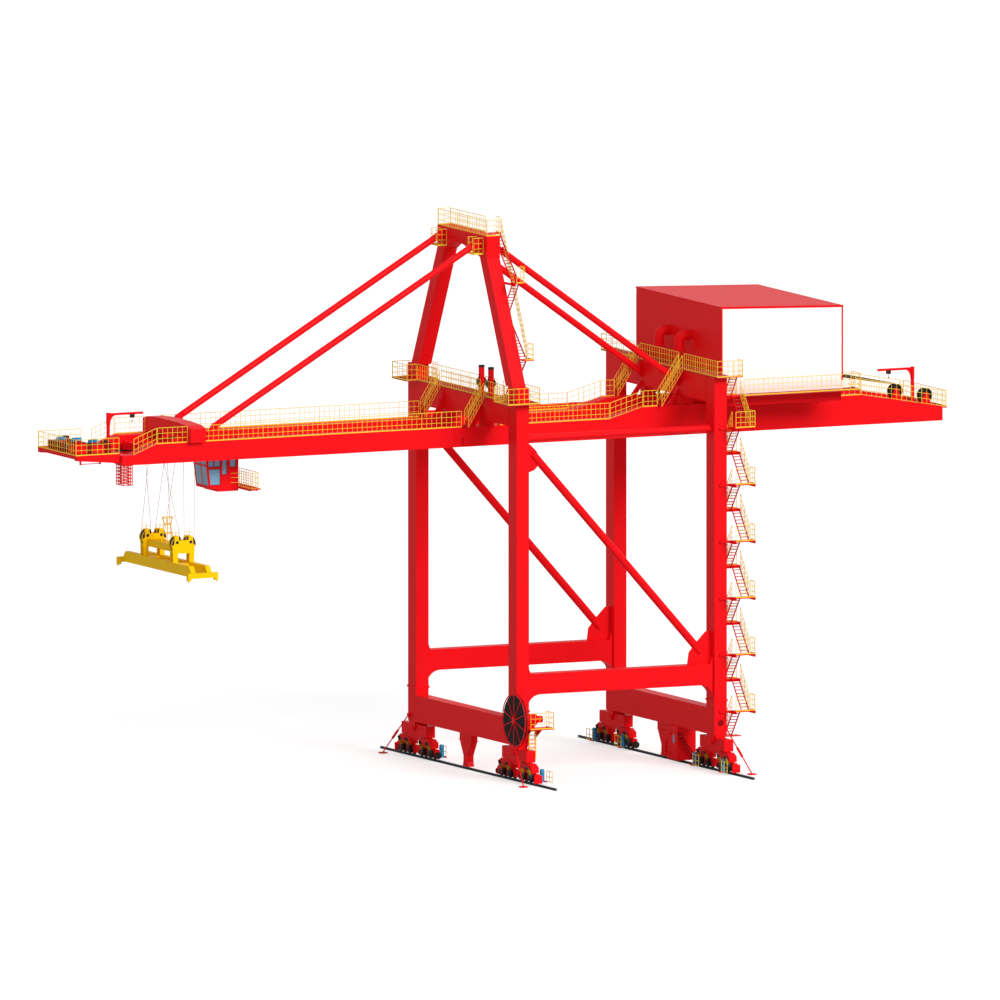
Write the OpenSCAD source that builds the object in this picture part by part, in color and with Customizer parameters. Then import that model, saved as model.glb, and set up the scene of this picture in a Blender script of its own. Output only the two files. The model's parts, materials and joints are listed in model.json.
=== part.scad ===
// Ship to shore container crane, scale model 1:2. Millimetres of the model.
// X points landward, Y along the quay away from the viewer, Z up.
// The origin lies under the waterside rail, midway along it.

/* [Portal] */
// Distance between the two rails
gauge = 8000; // [7000:50:9000]
// Half the distance between the legs along the quay
leg_y = 4255; // [3800:5:4900]
// Leg width across the quay
leg_w = 500; // [420:10:580]
// Leg depth along the quay
leg_d = 700; // [600:10:800]
// Underside of the sill beams
sill_z0 = 1350; // [1150:10:1550]
// Height of the sill beams
sill_h = 970; // [850:10:1100]
// Lower portal beam underside above the sill beams
portal_up = 880; // [750:10:1100]
// Height of the lower portal beams
portal_h = 760; // [600:10:900]
// Width of the lower portal beams
portal_w = 480; // [400:10:560]
// Diameter of the diagonal braces
brace_d = 290; // [240:5:340]
// Diameter of the upper tie tubes
tie_d = 260; // [220:5:320]

/* [Travel gear] */
// Travel wheel radius
wheel_r = 150; // [130:5:170]
// Distance between the wheels of one bogie
wheel_pitch = 375; // [350:5:430]
// Height of the crane rails
rail_z = 85; // [70:1:100]

/* [Girders] */
// Half the distance between the girder centrelines
girder_y = 1550; // [1400:10:1750]
// Girder width
girder_w = 550; // [470:10:620]
// Clear height under boom and girders
girder_z0 = 12100; // [10500:50:13500]
// Depth of the boom and of the girders between the legs
boom_h = 725; // [650:5:800]
// Depth of the girders under the house
deep_h = 1100; // [950:10:1250]
// Boom tip ahead of the waterside rail
boom_reach = 14875; // [13000:25:17000]
// Boom hinge ahead of the waterside rail
hinge_out = 1100; // [950:10:1250]
// Length of the tapered girder tails
tail_len = 3300; // [2800:50:3800]

/* [Pylon] */
// Half width of the apex beam along the quay
apex_half = 2100; // [2000:10:2300]
// Height of the pylon legs
pylon_h = 4500; // [3900:50:5200]
// Depth of the apex beam
apex_h = 820; // [720:10:920]
// Stay tube diameter
stay_d = 240; // [200:10:280]

/* [House] */
// House wall behind the landside rail
house_gap = 500; // [450:10:580]
// Length of the machinery house
house_len = 4925; // [4300:25:5600]
// House wall inside the leg centreline
house_in = 655; // [580:5:760]
// Height of the landside house wall
house_h = 2750; // [2300:25:3200]
// Wall thickness of the machinery house
house_wall = 60; // [45:5:75]

/* [Hoist] */
// Trolley centre behind the boom tip, as pictured
trolley_out = 2700; // [2300:25:3200]
// Height of the twistlock shoulders, as pictured
lock_z = 7875; // [6600:25:9200]
// Twistlock spacing along the quay
lock_y = 5992; // [4900:1:6000]
// Twistlock spacing across the quay
lock_x = 1130; // [1000:1:1160]
// Rope diameter
rope_d = 22; // [16:1:26]
// Width of the operator cab
cab_w = 1140; // [980:10:1300]
// Height of the operator cab
cab_h = 1400; // [1250:10:1550]

/* [Reel] */
// Cable reel radius
reel_r = 985; // [850:5:1150]
// Spokes on each side of the cable reel
reel_spokes = 10; // [8:1:12]

/* [Handrails and stairs] */
// Handrail height
rail_h = 600; // [500:10:700]
// Handrail bar size
bar = 26; // [20:1:30]
// Aimed distance between handrail posts
post_pitch = 800; // [600:20:1200]
// Aimed rise from tread to tread
tread_rise = 110; // [95:1:130]

/* [Hidden] */

red = "#d8161d";
dark_red = "#a3161c";
yellow = "#f2b21a";
spreader_yellow = "#f0c000";
black = "#1c1c1e";
steel = "#2b3a45";
olive = "#6b5a10";
blue = "#2a86b8";
glass = "#9cc7dc";
white = "#f2f2f0";
$fn = 40;

// Plate and deck thickness, and the gap between sliding faces
plate = 40;
deck = 30;
run_gap = 0.5;

// Corners of the portal as multiples of the gauge and of leg_y
corners = [[0, -1], [0, 1], [1, -1], [1, 1]];
half_w = leg_w / 2;
leg_face = leg_y + leg_d / 2;
sill_z1 = sill_z0 + sill_h;
flange_z = sill_z1 + 260;
portal_z0 = sill_z1 + portal_up;
portal_z1 = portal_z0 + portal_h;

// Wheels and bogies
axle_z = rail_z + wheel_r;
bogie_half = 1.5 * wheel_pitch + wheel_r + 27.5;
bogie_top = axle_z + wheel_r + 85;
bogie_y = bogie_half + 135;
truck_top = bogie_top - 35;
carry_z = truck_top + 20;
equal_z = bogie_top + 340;
clamp_y = bogie_y + 0.88 * wheel_pitch;

// Levels of the upper works
boom_top = girder_z0 + boom_h;
deep_top = girder_z0 + deep_h;
face_y = girder_y - girder_w / 2;
out_y = girder_y + girder_w / 2;
beam_half = 260;
leg_top = deep_top + 1300;
front_z = boom_top + 225;
front_top = front_z + 850;
front_deck = front_top + deck;
back_deck = leg_top + deck;
tie_z = leg_top - 1900;
apex_z0 = leg_top + pylon_h;
apex_z1 = apex_z0 + apex_h;

// Stations along the girders
tip_x = -boom_reach;
hinge_x = -hinge_out;
kink_x = gauge - 3150;
deep_x = gauge - 1800;
house_x0 = gauge + house_gap;
house_x1 = house_x0 + house_len;
tail_x = house_x1 + 1575;
girder_end = tail_x + tail_len;
tail_z = deep_top - 585;
stay_x = tip_x + 3915;
tie_x = tip_x + 2675;

// House levels
house_half = leg_y - house_in;
house_z0 = deep_top + 650;
house_floor_z = house_z0 + 100;
house_top = house_floor_z + house_h;
roof_fall = 170;
gallery_z = house_z0 - 130;

// Hoist
trolley_x = tip_x + trolley_out;
block_y = 1250;
block_z = lock_z + 500;
sheave_z = girder_z0 + 460;
sheave_y = face_y - 575;
cab_top = girder_z0 + 200;
cab_z = cab_top - cab_h;
cab_x0 = trolley_x + 1325;
cab_x1 = trolley_x + 2600;
cab_y = cab_w / 2;
cab_rake = 110;

// Reel
reel_c = [-450, -leg_y - 645, sill_z1 + 20];
reel_deck = reel_c[2] - 330;

// Stairs on the landside leg
storeys = 6;
stair_near = -leg_y - 570;
stair_far = -leg_y + 225;
half_z = 1225;
storey = (gallery_z - half_z) / storeys;
big_z = half_z + storey / 2;
stair_x = gauge + 300;
stair_end = stair_x + 810;
back_end = stair_x + 70;

// Stairs beside the stays and on the pylon
side_stair = girder_y + stay_d / 2 + 200;
pylon_foot = leg_y - 255;
pylon_head = apex_half - 300;
function pylon_y(z) = -pylon_foot + (pylon_foot - pylon_head) * (z - leg_top) / pylon_h;
climb = apex_z1 - front_deck;
rest_1 = front_deck + climb * 0.258;
rest_2 = front_deck + climb * 0.511;
rest_3 = front_deck + climb * 0.725;
rest_1y = pylon_y(rest_1) - 105;
rest_2y = pylon_y(rest_2) + 706;
rest_3y = pylon_y(rest_3) - 810;
pylon_step = -2300;
climb_x = beam_half + 80;
climb_end = climb_x + 330;

// Plain box from its two corners
module box(x0, x1, y0, y1, z0, z1) {
  translate([x0, y0, z0]) cube([x1 - x0, y1 - y0, z1 - z0]);
}
// Box that reaches from y0 to y1 on the near side, or its mirror on the far side
module side_box(s, x0, x1, y0, y1, z0, z1) {
  box(x0, x1, s > 0 ? y0 : -y1, s > 0 ? y1 : -y0, z0, z1);
}
// Profile drawn in X and Z, drawn out along Y
module prof_y(pts, y0, y1) {
  translate([0, y1, 0]) rotate([90, 0, 0]) linear_extrude(height = y1 - y0) polygon(pts);
}
// Profile drawn in Y and Z, drawn out along X
module prof_x(pts, x0, x1) {
  translate([x0, 0, 0]) rotate([90, 0, 90]) linear_extrude(height = x1 - x0) polygon(pts);
}
// Round bar between two points
module rod(a, b, d) {
  v = b - a;
  l = norm(v);
  translate(a) rotate([0, acos(v[2] / l), atan2(v[1], v[0])]) cylinder(h = l, d = d);
}
// Disc or drum with its axis along X, or along Y
module disc_x(c, d, h) {
  translate(c) rotate([0, 90, 0]) cylinder(h = h, d = d);
}
module disc_y(c, d, h) {
  translate(c) rotate([90, 0, 0]) cylinder(h = h, d = d, center = true);
}
// Flat handrail panel over a level or sloping line, posts upright
module lattice(a, za, c, zc, h, rows, pitch) {
  n = max(1, round(abs(c - a) / pitch));
  w = (c - a) / n;
  k = (zc - za) / (c - a);
  e = bar / 2;
  outer = [[a - e, za - k * e], [c + e, zc + k * e], [c + e, zc + k * e + h], [a - e, za - k * e + h]];
  holes = [for (i = [0:n - 1]) for (j = [0:rows - 1])
    let (p = a + i * w + e, q = a + (i + 1) * w - e,
         lo = j * (h - bar) / rows + bar, hi = (j + 1) * (h - bar) / rows)
    [[p, za + k * (p - a) + lo], [q, za + k * (q - a) + lo],
     [q, za + k * (q - a) + hi], [p, za + k * (p - a) + hi]]];
  pts = concat(outer, [for (q = holes) for (p = q) p]);
  polygon(points = pts, paths = concat([[0, 1, 2, 3]],
    [for (i = [0:len(holes) - 1]) [4 + 4 * i, 5 + 4 * i, 6 + 4 * i, 7 + 4 * i]]));
}
// Handrail along X
module rail_x(x0, x1, y, z0, z1, h = rail_h, rows = 3, pitch = post_pitch) {
  translate([0, y + bar / 2, 0]) rotate([90, 0, 0]) linear_extrude(height = bar)
    lattice(x0, z0, x1, z1, h, rows, pitch);
}
// Handrail along Y
module rail_y(y0, y1, x, z0, z1, h = rail_h, rows = 3, pitch = post_pitch) {
  translate([x - bar / 2, 0, 0]) rotate([90, 0, 90]) linear_extrude(height = bar)
    lattice(y0, z0, y1, z1, h, rows, pitch);
}
// Handrail along Y between two distances from the middle, on the side s
module side_rail(s, y0, y1, x, z) {
  rail_y(s > 0 ? y0 : -y1, s > 0 ? y1 : -y0, x, z, z);
}
string_w = 20;
string_h = 95;
function tread_count(za, zb) = round(abs(zb - za) / tread_rise) - 1;
// Two stringers of a flight that runs along Y
module strings_y(x0, x1, ya, za, yb, zb) {
  for (x = [x0, x1 - string_w])
    prof_x([[ya, za - string_h], [yb, zb - string_h], [yb, zb], [ya, za]], x, x + string_w);
}
// Treads of a flight that runs along Y
module treads_y(x0, x1, ya, za, yb, zb) {
  n = tread_count(za, zb);
  for (i = [1:n]) {
    y = ya + (yb - ya) * i / (n + 1);
    z = za + (zb - za) * i / (n + 1);
    box(x0 + string_w, x1 - string_w, y - 55, y + 55, z - 40, z - 22);
  }
}
// Two stringers of a flight that runs along X, cut level at the foot
module strings_x(y0, y1, xa, za, xb, zb) {
  for (y = [y0, y1 - string_w])
    prof_y([[xa + (xb - xa) * string_h / (zb - za), za], [xb, zb - string_h], [xb, zb], [xa, za]], y, y + string_w);
}
// Treads of a flight that runs along X
module treads_x(y0, y1, xa, za, xb, zb) {
  n = tread_count(za, zb);
  for (i = [1:n]) {
    x = xa + (xb - xa) * i / (n + 1);
    z = za + (zb - za) * i / (n + 1);
    box(x - 55, x + 55, y0 + string_w, y1 - string_w, z - 40, z - 22);
  }
}

// Crane rails that the wheels stand on
module rails() {
  reach = leg_y + 3195;
  color(steel) for (x = [0, gauge])
    prof_y([[x - 43, 0], [x + 43, 0], [x + 43, 12], [x + 12, 20], [x + 12, rail_z - 30], [x + 32, rail_z - 23],
      [x + 32, rail_z], [x - 32, rail_z], [x - 32, rail_z - 23], [x - 12, rail_z - 30], [x - 12, 20], [x - 43, 12]],
      -reach, reach);
}
// Travel wheels, eight under each corner
module gantry_wheels() {
  color(black) for (c = corners) for (h = [-1, 1]) for (i = [-1.5, -0.5, 0.5, 1.5])
    translate([c[0] * gauge, c[1] * leg_y + h * bogie_y + i * wheel_pitch, axle_z]) rotate([0, 90, 0]) {
      cylinder(r = wheel_r, h = 64, center = true);
      cylinder(r = 55, h = 116, center = true);
    }
}
// Bogies: a carrying beam on two wheel trucks, with a guard box at the outer end and a buffer at the inner end
module bogie_frames() {
  truck = wheel_pitch / 2 + wheel_r + 27.5;
  end = wheel_pitch + truck;
  carry = [[-530, carry_z], [530, carry_z], [530, carry_z + 205], [290, equal_z - 33], [-290, equal_z - 33],
    [-530, carry_z + 205]];
  color(red) for (c = corners) for (h = [-1, 1]) translate([c[0] * gauge, c[1] * leg_y + h * bogie_y, 0]) {
    for (t = [-1, 1]) translate([0, t * wheel_pitch, 0]) {
      difference() {
        box(-92, 92, -truck, truck, axle_z - 85, truck_top);
        box(-58, 58, -truck + 24, truck - 24, 0, truck_top - 30);
      }
      box(-75, 75, -80, 80, truck_top, carry_z);
    }
    prof_x(carry, -150, 150);
    box(-100, 100, -100, 100, equal_z - 33, equal_z);
    if (h == c[1]) side_box(h, -155, 155, end, end + 75, rail_z + 15, axle_z + 155);
    if (h != c[1]) disc_y([0, h * (end + 60), axle_z], 220, 120);
  }
}
// Gear cases and leaning motors on the waterside of the bogies
module gantry_drives() {
  color(olive) for (c = corners) for (h = [-1, 1]) for (i = [0.1, -1.4]) {
    x = c[0] * gauge - 92;
    y = c[1] * leg_y + h * bogie_y + i * wheel_pitch;
    box(x - 170, x, y - 75, y + 75, axle_z - 65, axle_z + 185);
    translate([x - 115, y, axle_z + 165]) rotate([0, -27, 0]) cylinder(h = 360, d = 130);
  }
}
// Main equalizer beams between the sill beams and the bogies
module equalizers() {
  top = sill_z0 - 110;
  half = [[150, equal_z - 165], [bogie_y - 255, equal_z], [bogie_y + 170, equal_z], [bogie_y + 170, top]];
  color(red) for (c = corners) {
    y = c[1] * leg_y;
    prof_x(concat([for (p = half) [y + p[0], p[1]]], [for (i = [3:-1:0]) [y - half[i][0], half[i][1]]]),
      c[0] * gauge - 180, c[0] * gauge + 180);
  }
}
// Beams along the quay over the bogies, with saddle plates and end manholes
module sill_beams() {
  end = leg_y + 350;
  pin_z = sill_z0 - 235;
  color(red) for (x = [0, gauge]) {
    difference() {
      box(x - half_w, x + half_w, -end, end, sill_z0, sill_z1);
      for (s = [-1, 1]) disc_y([x, s * end, sill_z0 + 0.42 * sill_h], 150, 120);
    }
    for (s = [-1, 1]) {
      y = s * leg_y;
      box(x - 180, x + 180, y - 320, y + 320, sill_z0 - 110, sill_z0);
      for (t = [-1, 1]) {
        prof_x([[y - 300, sill_z0 + 60], [y + 300, sill_z0 + 60], [y + 110, sill_z0 - 350], [y - 110, sill_z0 - 350]],
          t > 0 ? x + 180 : x - half_w, t > 0 ? x + half_w : x - 180);
        translate([x + t * half_w, y, pin_z]) rotate([0, t * 90, 0]) cylinder(h = 30, d = 170);
      }
    }
  }
}
// Tapered anchor posts under the middle of the sill beams
module anchor_posts() {
  z = sill_z0 - 270;
  half = [[500, sill_z0], [500, z], [170, z - 560], [170, z - 780], [230, 120]];
  color(red) for (x = [0, gauge]) {
    prof_x(concat(half, [for (i = [4:-1:0]) [-half[i][0], half[i][1]]]), x - 125, x + 125);
    box(x - 150, x + 150, -535, 535, z - 20, z);
  }
}
// Storm tie rods from the sill sides to plates on the ground
module storm_ties() {
  color(red) for (c = corners) {
    t = c[0] == 0 ? -1 : 1;
    x = c[0] * gauge + t * half_w;
    y = leg_y + 205;
    top = [x + t * 55, c[1] * y, sill_z0 + 200];
    foot = [x + t * 370, c[1] * (y + 1490), 45];
    side_box(c[1], t > 0 ? x : x - 85, t > 0 ? x + 85 : x, y - 60, y + 60, sill_z0 + 130, sill_z0 + 270);
    rod(top, foot, 44);
    rod(top * 0.58 + foot * 0.42, top * 0.38 + foot * 0.62, 90);
    translate([foot[0], foot[1], 0]) box(-130, 130, -130, 130, 0, 45);
  }
}
// Upright rail clamp cylinders on the inner side of the bogies
module rail_clamps() {
  z = rail_z + 15;
  color(blue) for (c = corners) for (v = [-1, 1]) {
    reach = c[0] == 0 ? 370 : -300;
    x = c[0] * gauge;
    y = c[1] * (leg_y + v * clamp_y);
    translate([x + reach, y, z + 40]) cylinder(h = 440, d = 180);
    translate([x + reach, y, z]) cylinder(h = 50, d = 230);
    box(reach > 0 ? x + 92 : x + reach, reach > 0 ? x + reach : x - 92, y - 55, y + 55, axle_z + 65, axle_z + 145);
  }
}
// Four box legs with a bolted flange above the sill
module legs() {
  color(red) for (c = corners) {
    x = c[0] * gauge;
    y = c[1] * leg_y;
    box(x - half_w, x + half_w, y - leg_d / 2, y + leg_d / 2, sill_z1, leg_top);
    box(x - half_w - 30, x + half_w + 30, y - leg_d / 2 - 30, y + leg_d / 2 + 30, flange_z, flange_z + 60);
  }
}
// Lower portal beams across the quay with haunched ends
module portal_beams() {
  b = gauge - half_w;
  foot = flange_z + 120;
  arc = [for (i = [0:6]) [half_w + 510 * (1 - cos(i * 15)), foot + (portal_z0 - foot) * sin(i * 15)]];
  color(red) for (s = [-1, 1])
    prof_y(concat(arc, [for (i = [6:-1:0]) [gauge - arc[i][0], arc[i][1]]],
      [[b, portal_z1 + 370], [b - 130, portal_z1], [half_w + 130, portal_z1], [half_w, portal_z1 + 370]]),
      s * leg_y - portal_w / 2, s * leg_y + portal_w / 2);
}
// Upper tie tubes across the quay
module tie_tubes() {
  color(red) for (s = [-1, 1]) {
    rod([half_w, s * leg_y, tie_z], [gauge - half_w, s * leg_y, tie_z], tie_d);
    for (x = [half_w, gauge - half_w - plate]) disc_x([x, s * leg_y, tie_z], tie_d + 120, plate);
  }
}
// Diagonal brace tubes with gusset plates
module braces() {
  a = half_w;
  b = gauge - half_w;
  z = portal_z1;
  t = tie_z - tie_d / 2;
  color(red) for (s = [-1, 1]) {
    rod([a + 290, s * leg_y, t - 430], [b - 400, s * leg_y, z + 440], brace_d);
    prof_y([[a, t - 90], [a, t - 1170], [a + 370, t - 1050], [a + 650, t - 750], [a + 450, t - 350], [a + 190, t - 90]],
      s * leg_y - 35, s * leg_y + 35);
    prof_y([[b, z + 1190], [b - 190, z + 1190], [b - 570, z + 800], [b - 870, z + 440], [b - 930, z], [b - 130, z],
      [b, z + 370]], s * leg_y - 35, s * leg_y + 35);
  }
}
// Waterside cross beam between the legs with girder hangers
module cross_beam_waterside() {
  color(red) {
    box(-beam_half, beam_half, -leg_y + leg_d / 2, leg_y - leg_d / 2, front_z, front_top);
    for (s = [-1, 1]) {
      y = s * girder_y;
      box(-220, 220, y - 200, y + 200, boom_top, front_z);
      for (t = [-1, 1])
        prof_y([[t * 700, boom_top], [t * beam_half, front_top - 140], [t * beam_half, front_z + 150], [t * 480, boom_top]],
          y - 50, y + 50);
    }
  }
}
// Landside cross beam with girder hangers and backstay lugs
module cross_beam_landside() {
  g = gauge;
  h = beam_half;
  z0 = leg_top - 950;
  color(red) {
    box(g - h, g + h, -leg_y + leg_d / 2, leg_y - leg_d / 2, z0, leg_top);
    for (s = [-1, 1]) {
      y = s * girder_y;
      box(g - 220, g + 220, y - 200, y + 200, deep_top, z0);
      prof_y([[g - 720, deep_top], [g - 500, deep_top], [g - h, z0 + 10], [g - h, z0 + 250]], y - 50, y + 50);
      prof_y([[g + 480, deep_top], [g + 480, z0 - 50], [g + h, z0 + 250], [g + h, deep_top + 150]], y - 50, y + 50);
      prof_y([[g - h, leg_top - 40], [g - h, leg_top - 640], [g - 420, leg_top - 520], [g - 520, leg_top - 320],
        [g - 420, leg_top - 170]], y - 70, y + 70);
    }
  }
}
// Trolley ledge on the inner face of a girder
module ledge(s, x0, x1) {
  side_box(s, x0, x1, face_y - 150, face_y, girder_z0 + 100, girder_z0 + 140);
}
// Hinged boom girders with trolley ledges and forestay lugs
module boom_girders() {
  low = girder_z0 + 360;
  x = stay_x;
  color(red) for (s = [-1, 1]) {
    prof_y([[tip_x, girder_z0], [hinge_x - 20, girder_z0], [hinge_x - 20, boom_top], [tip_x + 1425, boom_top],
      [tip_x + 460, low], [tip_x, low]], s * girder_y - girder_w / 2, s * girder_y + girder_w / 2);
    ledge(s, tip_x + 420, hinge_x - 20);
    prof_y([[x - 440, boom_top], [x + 240, boom_top], [x + 100, boom_top + 595], [x, boom_top + 655],
      [x - 120, boom_top + 615], [x - 200, boom_top + 515]], s * girder_y - 45, s * girder_y + 45);
  }
}
// Fixed girders behind the boom hinge
module main_girders() {
  color(red) for (s = [-1, 1]) {
    prof_y([[hinge_x + 20, girder_z0], [girder_end, girder_z0], [girder_end, tail_z], [tail_x, deep_top],
      [deep_x, deep_top], [kink_x, boom_top], [hinge_x + 20, boom_top]],
      s * girder_y - girder_w / 2, s * girder_y + girder_w / 2);
    ledge(s, hinge_x + 20, girder_end - 500);
  }
}
// Ties between the two girders at the tip, over the trolley and at the rear
module girder_ties() {
  z = girder_z0 + 20;
  arch = [[face_y - 155, boom_top + 135], [face_y - 25, boom_top], [out_y + 225, boom_top], [out_y + 225, boom_top + 505],
    [out_y - 125, boom_top + 595], [800, boom_top + 645]];
  color(red) {
    box(tip_x, tip_x + 420, -face_y, face_y, z, z + 330);
    prof_x(concat(arch, [for (i = [5:-1:0]) [-arch[i][0], arch[i][1]]]), tie_x, tie_x + 600);
    box(girder_end - 500, girder_end, -face_y, face_y, z, z + 440);
  }
}
// Hinge plates and pins between boom and main girders
module boom_hinges() {
  z = boom_top - 405;
  color(red) for (s = [-1, 1]) for (t = [-1, 1]) {
    y = s * girder_y + t * girder_w / 2;
    prof_y([[hinge_x - 330, z], [hinge_x + 330, z], [hinge_x + 330, z + 280], [hinge_x + 120, z + 370],
      [hinge_x - 120, z + 370], [hinge_x - 330, z + 280]], t > 0 ? y : y - 30, t > 0 ? y + 30 : y);
    if (s == t) disc_y([hinge_x, y + t * 42.5, z + 200], 170, 25);
  }
}
// Trolley rails on the inner ledges of the girders
module trolley_rails() {
  color(steel) for (s = [-1, 1])
    side_box(s, tip_x + 430, girder_end - 510, face_y - 107, face_y - 63, girder_z0 + 140, girder_z0 + 190);
}
// Leaning pylon legs on the waterside legs
module pylon_legs() {
  color(red) for (s = [-1, 1])
    prof_x([[s * (pylon_foot + 300), leg_top], [s * (pylon_foot - 300), leg_top], [s * (pylon_head - 300), apex_z0],
      [s * (pylon_head + 300), apex_z0]], -beam_half, beam_half);
}
// Apex beam with arched underside and stay lugs
module apex_beam() {
  a = apex_half;
  z = apex_z0;
  under = [[-a, z], [605 - a, z], [920 - a, z + 180], [1340 - a, z + 290], [1800 - a, z + 330]];
  color(red) {
    prof_x(concat(under, [for (i = [4:-1:0]) [-under[i][0], under[i][1]]], [[a, apex_z1], [-a, apex_z1]]),
      -beam_half, beam_half + 15);
    for (s = [-1, 1]) {
      y = s * girder_y;
      prof_y([[-260, z + 300], [-260, z + 700], [-480, z + 640], [-560, z + 500], [-480, z + 360]], y - 75, y + 75);
      prof_y([[275, z + 120], [275, z + 500], [480, z + 440], [540, z + 300], [470, z + 180]], y - 75, y + 75);
    }
  }
}
// Stay tube between two pins, with a fork over the lug at each end
module stay(a, b, lug_a, lug_b, y) {
  u = (b - a) / norm(b - a);
  n = [-u[1], u[0]];
  clear = 190;
  for (e = [[a, u, lug_a], [b, -u, lug_b]]) {
    back = e[0] - 90 * e[1];
    front = e[0] + (clear + 120) * e[1];
    for (s = [-1, 1]) {
      y0 = y + s * (e[2] + 17.8);
      prof_y([back - 95 * n, front - 95 * n, front + 95 * n, back + 95 * n], y0 - 17.5, y0 + 17.5);
      disc_y([e[0][0], y0 + s * 27.5, e[0][1]], 110, 20);
    }
  }
  p = a + clear * u;
  q = b - clear * u;
  rod([p[0], y, p[1]], [q[0], y, q[1]], stay_d);
}
// Forestays from the boom to the apex
module forestays() {
  color(red) for (s = [-1, 1])
    stay([stay_x - 20, boom_top + 535], [-450, apex_z0 + 500], 45, 75, s * girder_y);
}
// Backstays from the apex to the landside cross beam
module backstays() {
  color(red) for (s = [-1, 1])
    stay([430, apex_z0 + 320], [gauge - 430, leg_top - 340], 75, 70, s * girder_y);
}
// House floor slab on two bearers and two side beams
module house_floor() {
  color(dark_red) {
    box(house_x0, house_x1, -house_half, house_half, house_z0, house_floor_z);
    for (x = [house_x0 + 600, house_x1 - 925]) box(x, x + 320, -house_half + 150, house_half - 150, deep_top, house_z0);
    for (s = [-1, 1]) side_box(s, house_x0, house_x1, house_half - 250, house_half - 150, deep_top + 60, house_z0);
  }
}
vent_y = [-855, 845];
vent_z = 1690;
vent_d = 370;
// Waterside and landside walls of the house
module house_end_walls() {
  color(red) {
    difference() {
      box(house_x0, house_x0 + house_wall, -house_half, house_half, house_floor_z, house_top + roof_fall - 2);
      for (y = vent_y) disc_x([house_x0 - 10, y, house_floor_z + vent_z], vent_d - 30, house_wall + 20);
    }
    difference() {
      box(house_x1 - house_wall, house_x1, -house_half, house_half, house_floor_z, house_top);
      box(house_x1 - house_wall - 10, house_x1 + 10, -1400, -200, house_floor_z, house_floor_z + 1500);
    }
  }
}
// Near and far walls of the house, with a door and two windows on the far side
module house_side_walls() {
  a = house_x0 + house_wall;
  b = house_x1 - house_wall;
  k = roof_fall / (house_len - house_wall);
  cut = house_half - house_wall - 20;
  color(white) for (s = [-1, 1]) difference() {
    prof_y([[a, house_floor_z], [b, house_floor_z], [b, house_top], [a, house_top + k * (b - a)]],
      s > 0 ? house_half - house_wall : -house_half, s > 0 ? house_half : -house_half + house_wall);
    if (s > 0) box(house_x1 - 1125, house_x1 - 645, cut, house_half + 10, house_floor_z, house_floor_z + 1030);
    if (s > 0) for (x = [house_x0 + 700, house_x0 + 2000])
      box(x, x + 600, cut, house_half + 10, house_floor_z + 1250, house_floor_z + 1950);
  }
}
// Sloping house roof
module house_roof() {
  a = house_x0 - 12;
  b = house_x1 + 12;
  color(red) prof_y([[a, house_top + roof_fall + 1], [b, house_top], [b, house_top + 70], [a, house_top + roof_fall + 73]],
    -house_half - 12, house_half + 12);
}
// Gooseneck vents on the waterside wall of the house
module vent_cowls() {
  z = house_floor_z + vent_z;
  bend = 260;
  color(red) for (y = vent_y) {
    disc_x([house_x0 - 130, y, z], vent_d, 130);
    translate([house_x0 - 130, y, z - bend]) rotate([90, 0, 180]) rotate_extrude(angle = 90)
      translate([bend, 0]) circle(d = vent_d);
    translate([house_x0 - 130 - bend, y, z - 2 * bend]) cylinder(h = bend, d = vent_d);
    translate([house_x0 - 130 - bend, y, z - 2 * bend - 40]) cylinder(h = 40, d = vent_d + 60);
  }
}
// Platform ahead of the boom tip on tapered brackets and three beams
module tip_platform() {
  p = tip_x;
  z = girder_z0 + 380;
  half = girder_y + 70;
  color(red) {
    box(p - 1775, p, -half, half, z, z + plate);
    for (s = [-1, 1])
      prof_y([[p, girder_z0 + 80], [p, z], [p - 1745, z], [p - 1745, z - 145]], s * girder_y - 110, s * girder_y + 110);
    for (y = [-1100, 0, 1100]) box(p - 1555, p, y - 50, y + 50, z - 135, z);
    box(p - 1745, p - 1645, -girder_y + 110, girder_y - 110, z - 100, z);
  }
}
tip_deck = girder_z0 + 420;
// Rope tensioning gear on the tip platform
module tip_machinery() {
  z = tip_deck;
  color(dark_red) translate([tip_x, 0, z]) {
    box(-1625, -1175, -1250, -650, 0, 440);
    box(-925, -475, -1300, -500, 0, 340);
    box(-1575, -725, 300, 1200, 0, 300);
    disc_y([-1395, -390, 180], 230, 420);
    box(-1475, -1315, -650, -200, 0, 80);
    disc_y([-705, -270, 180], 200, 360);
    box(-765, -645, -500, -120, 0, 100);
    translate([-1125, 600, 280]) cylinder(h = 200, d = 260);
  }
}
// Barred cage that hangs under the near boom girder at its tip
module tip_cage() {
  x = [tip_x + 65, tip_x + 415];
  y = [-out_y + 15, -out_y + 635];
  drop = 750;
  z = girder_z0 - drop;
  color(red) for (i = [0, 1]) {
    rail_x(x[0], x[1], y[i], z, z, drop, 6, 175);
    rail_y(y[0], y[1], x[i], z, z, drop, 6, 155);
  }
}
gallery_sheaves = [-girder_y + 550, -girder_y - 250];
tail_sheaves = [tail_x + 1500, tail_x + 2700];
tail_fall = (deep_top - tail_z) / tail_len;
// Stands of the rope sheaves on the waterside gallery and on the near girder tail
module sheave_stands() {
  color(red) {
    for (y = gallery_sheaves) {
      for (e = [-45, 45]) box(-40, 140, y + e - 15, y + e + 15, front_deck, front_deck + 940);
      box(-40, 140, y - 60, y + 60, front_deck + 940, front_deck + 1010);
    }
    for (x = tail_sheaves) for (e = [-120, 120]) {
      z = deep_top - tail_fall * (x - tail_x) + 0.3;
      prof_y([[x - 200, z + 200 * tail_fall], [x + 200, z - 200 * tail_fall], [x + 70, z + 420], [x - 70, z + 420]],
        -girder_y + e - 20, -girder_y + e + 20);
    }
  }
}
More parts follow.
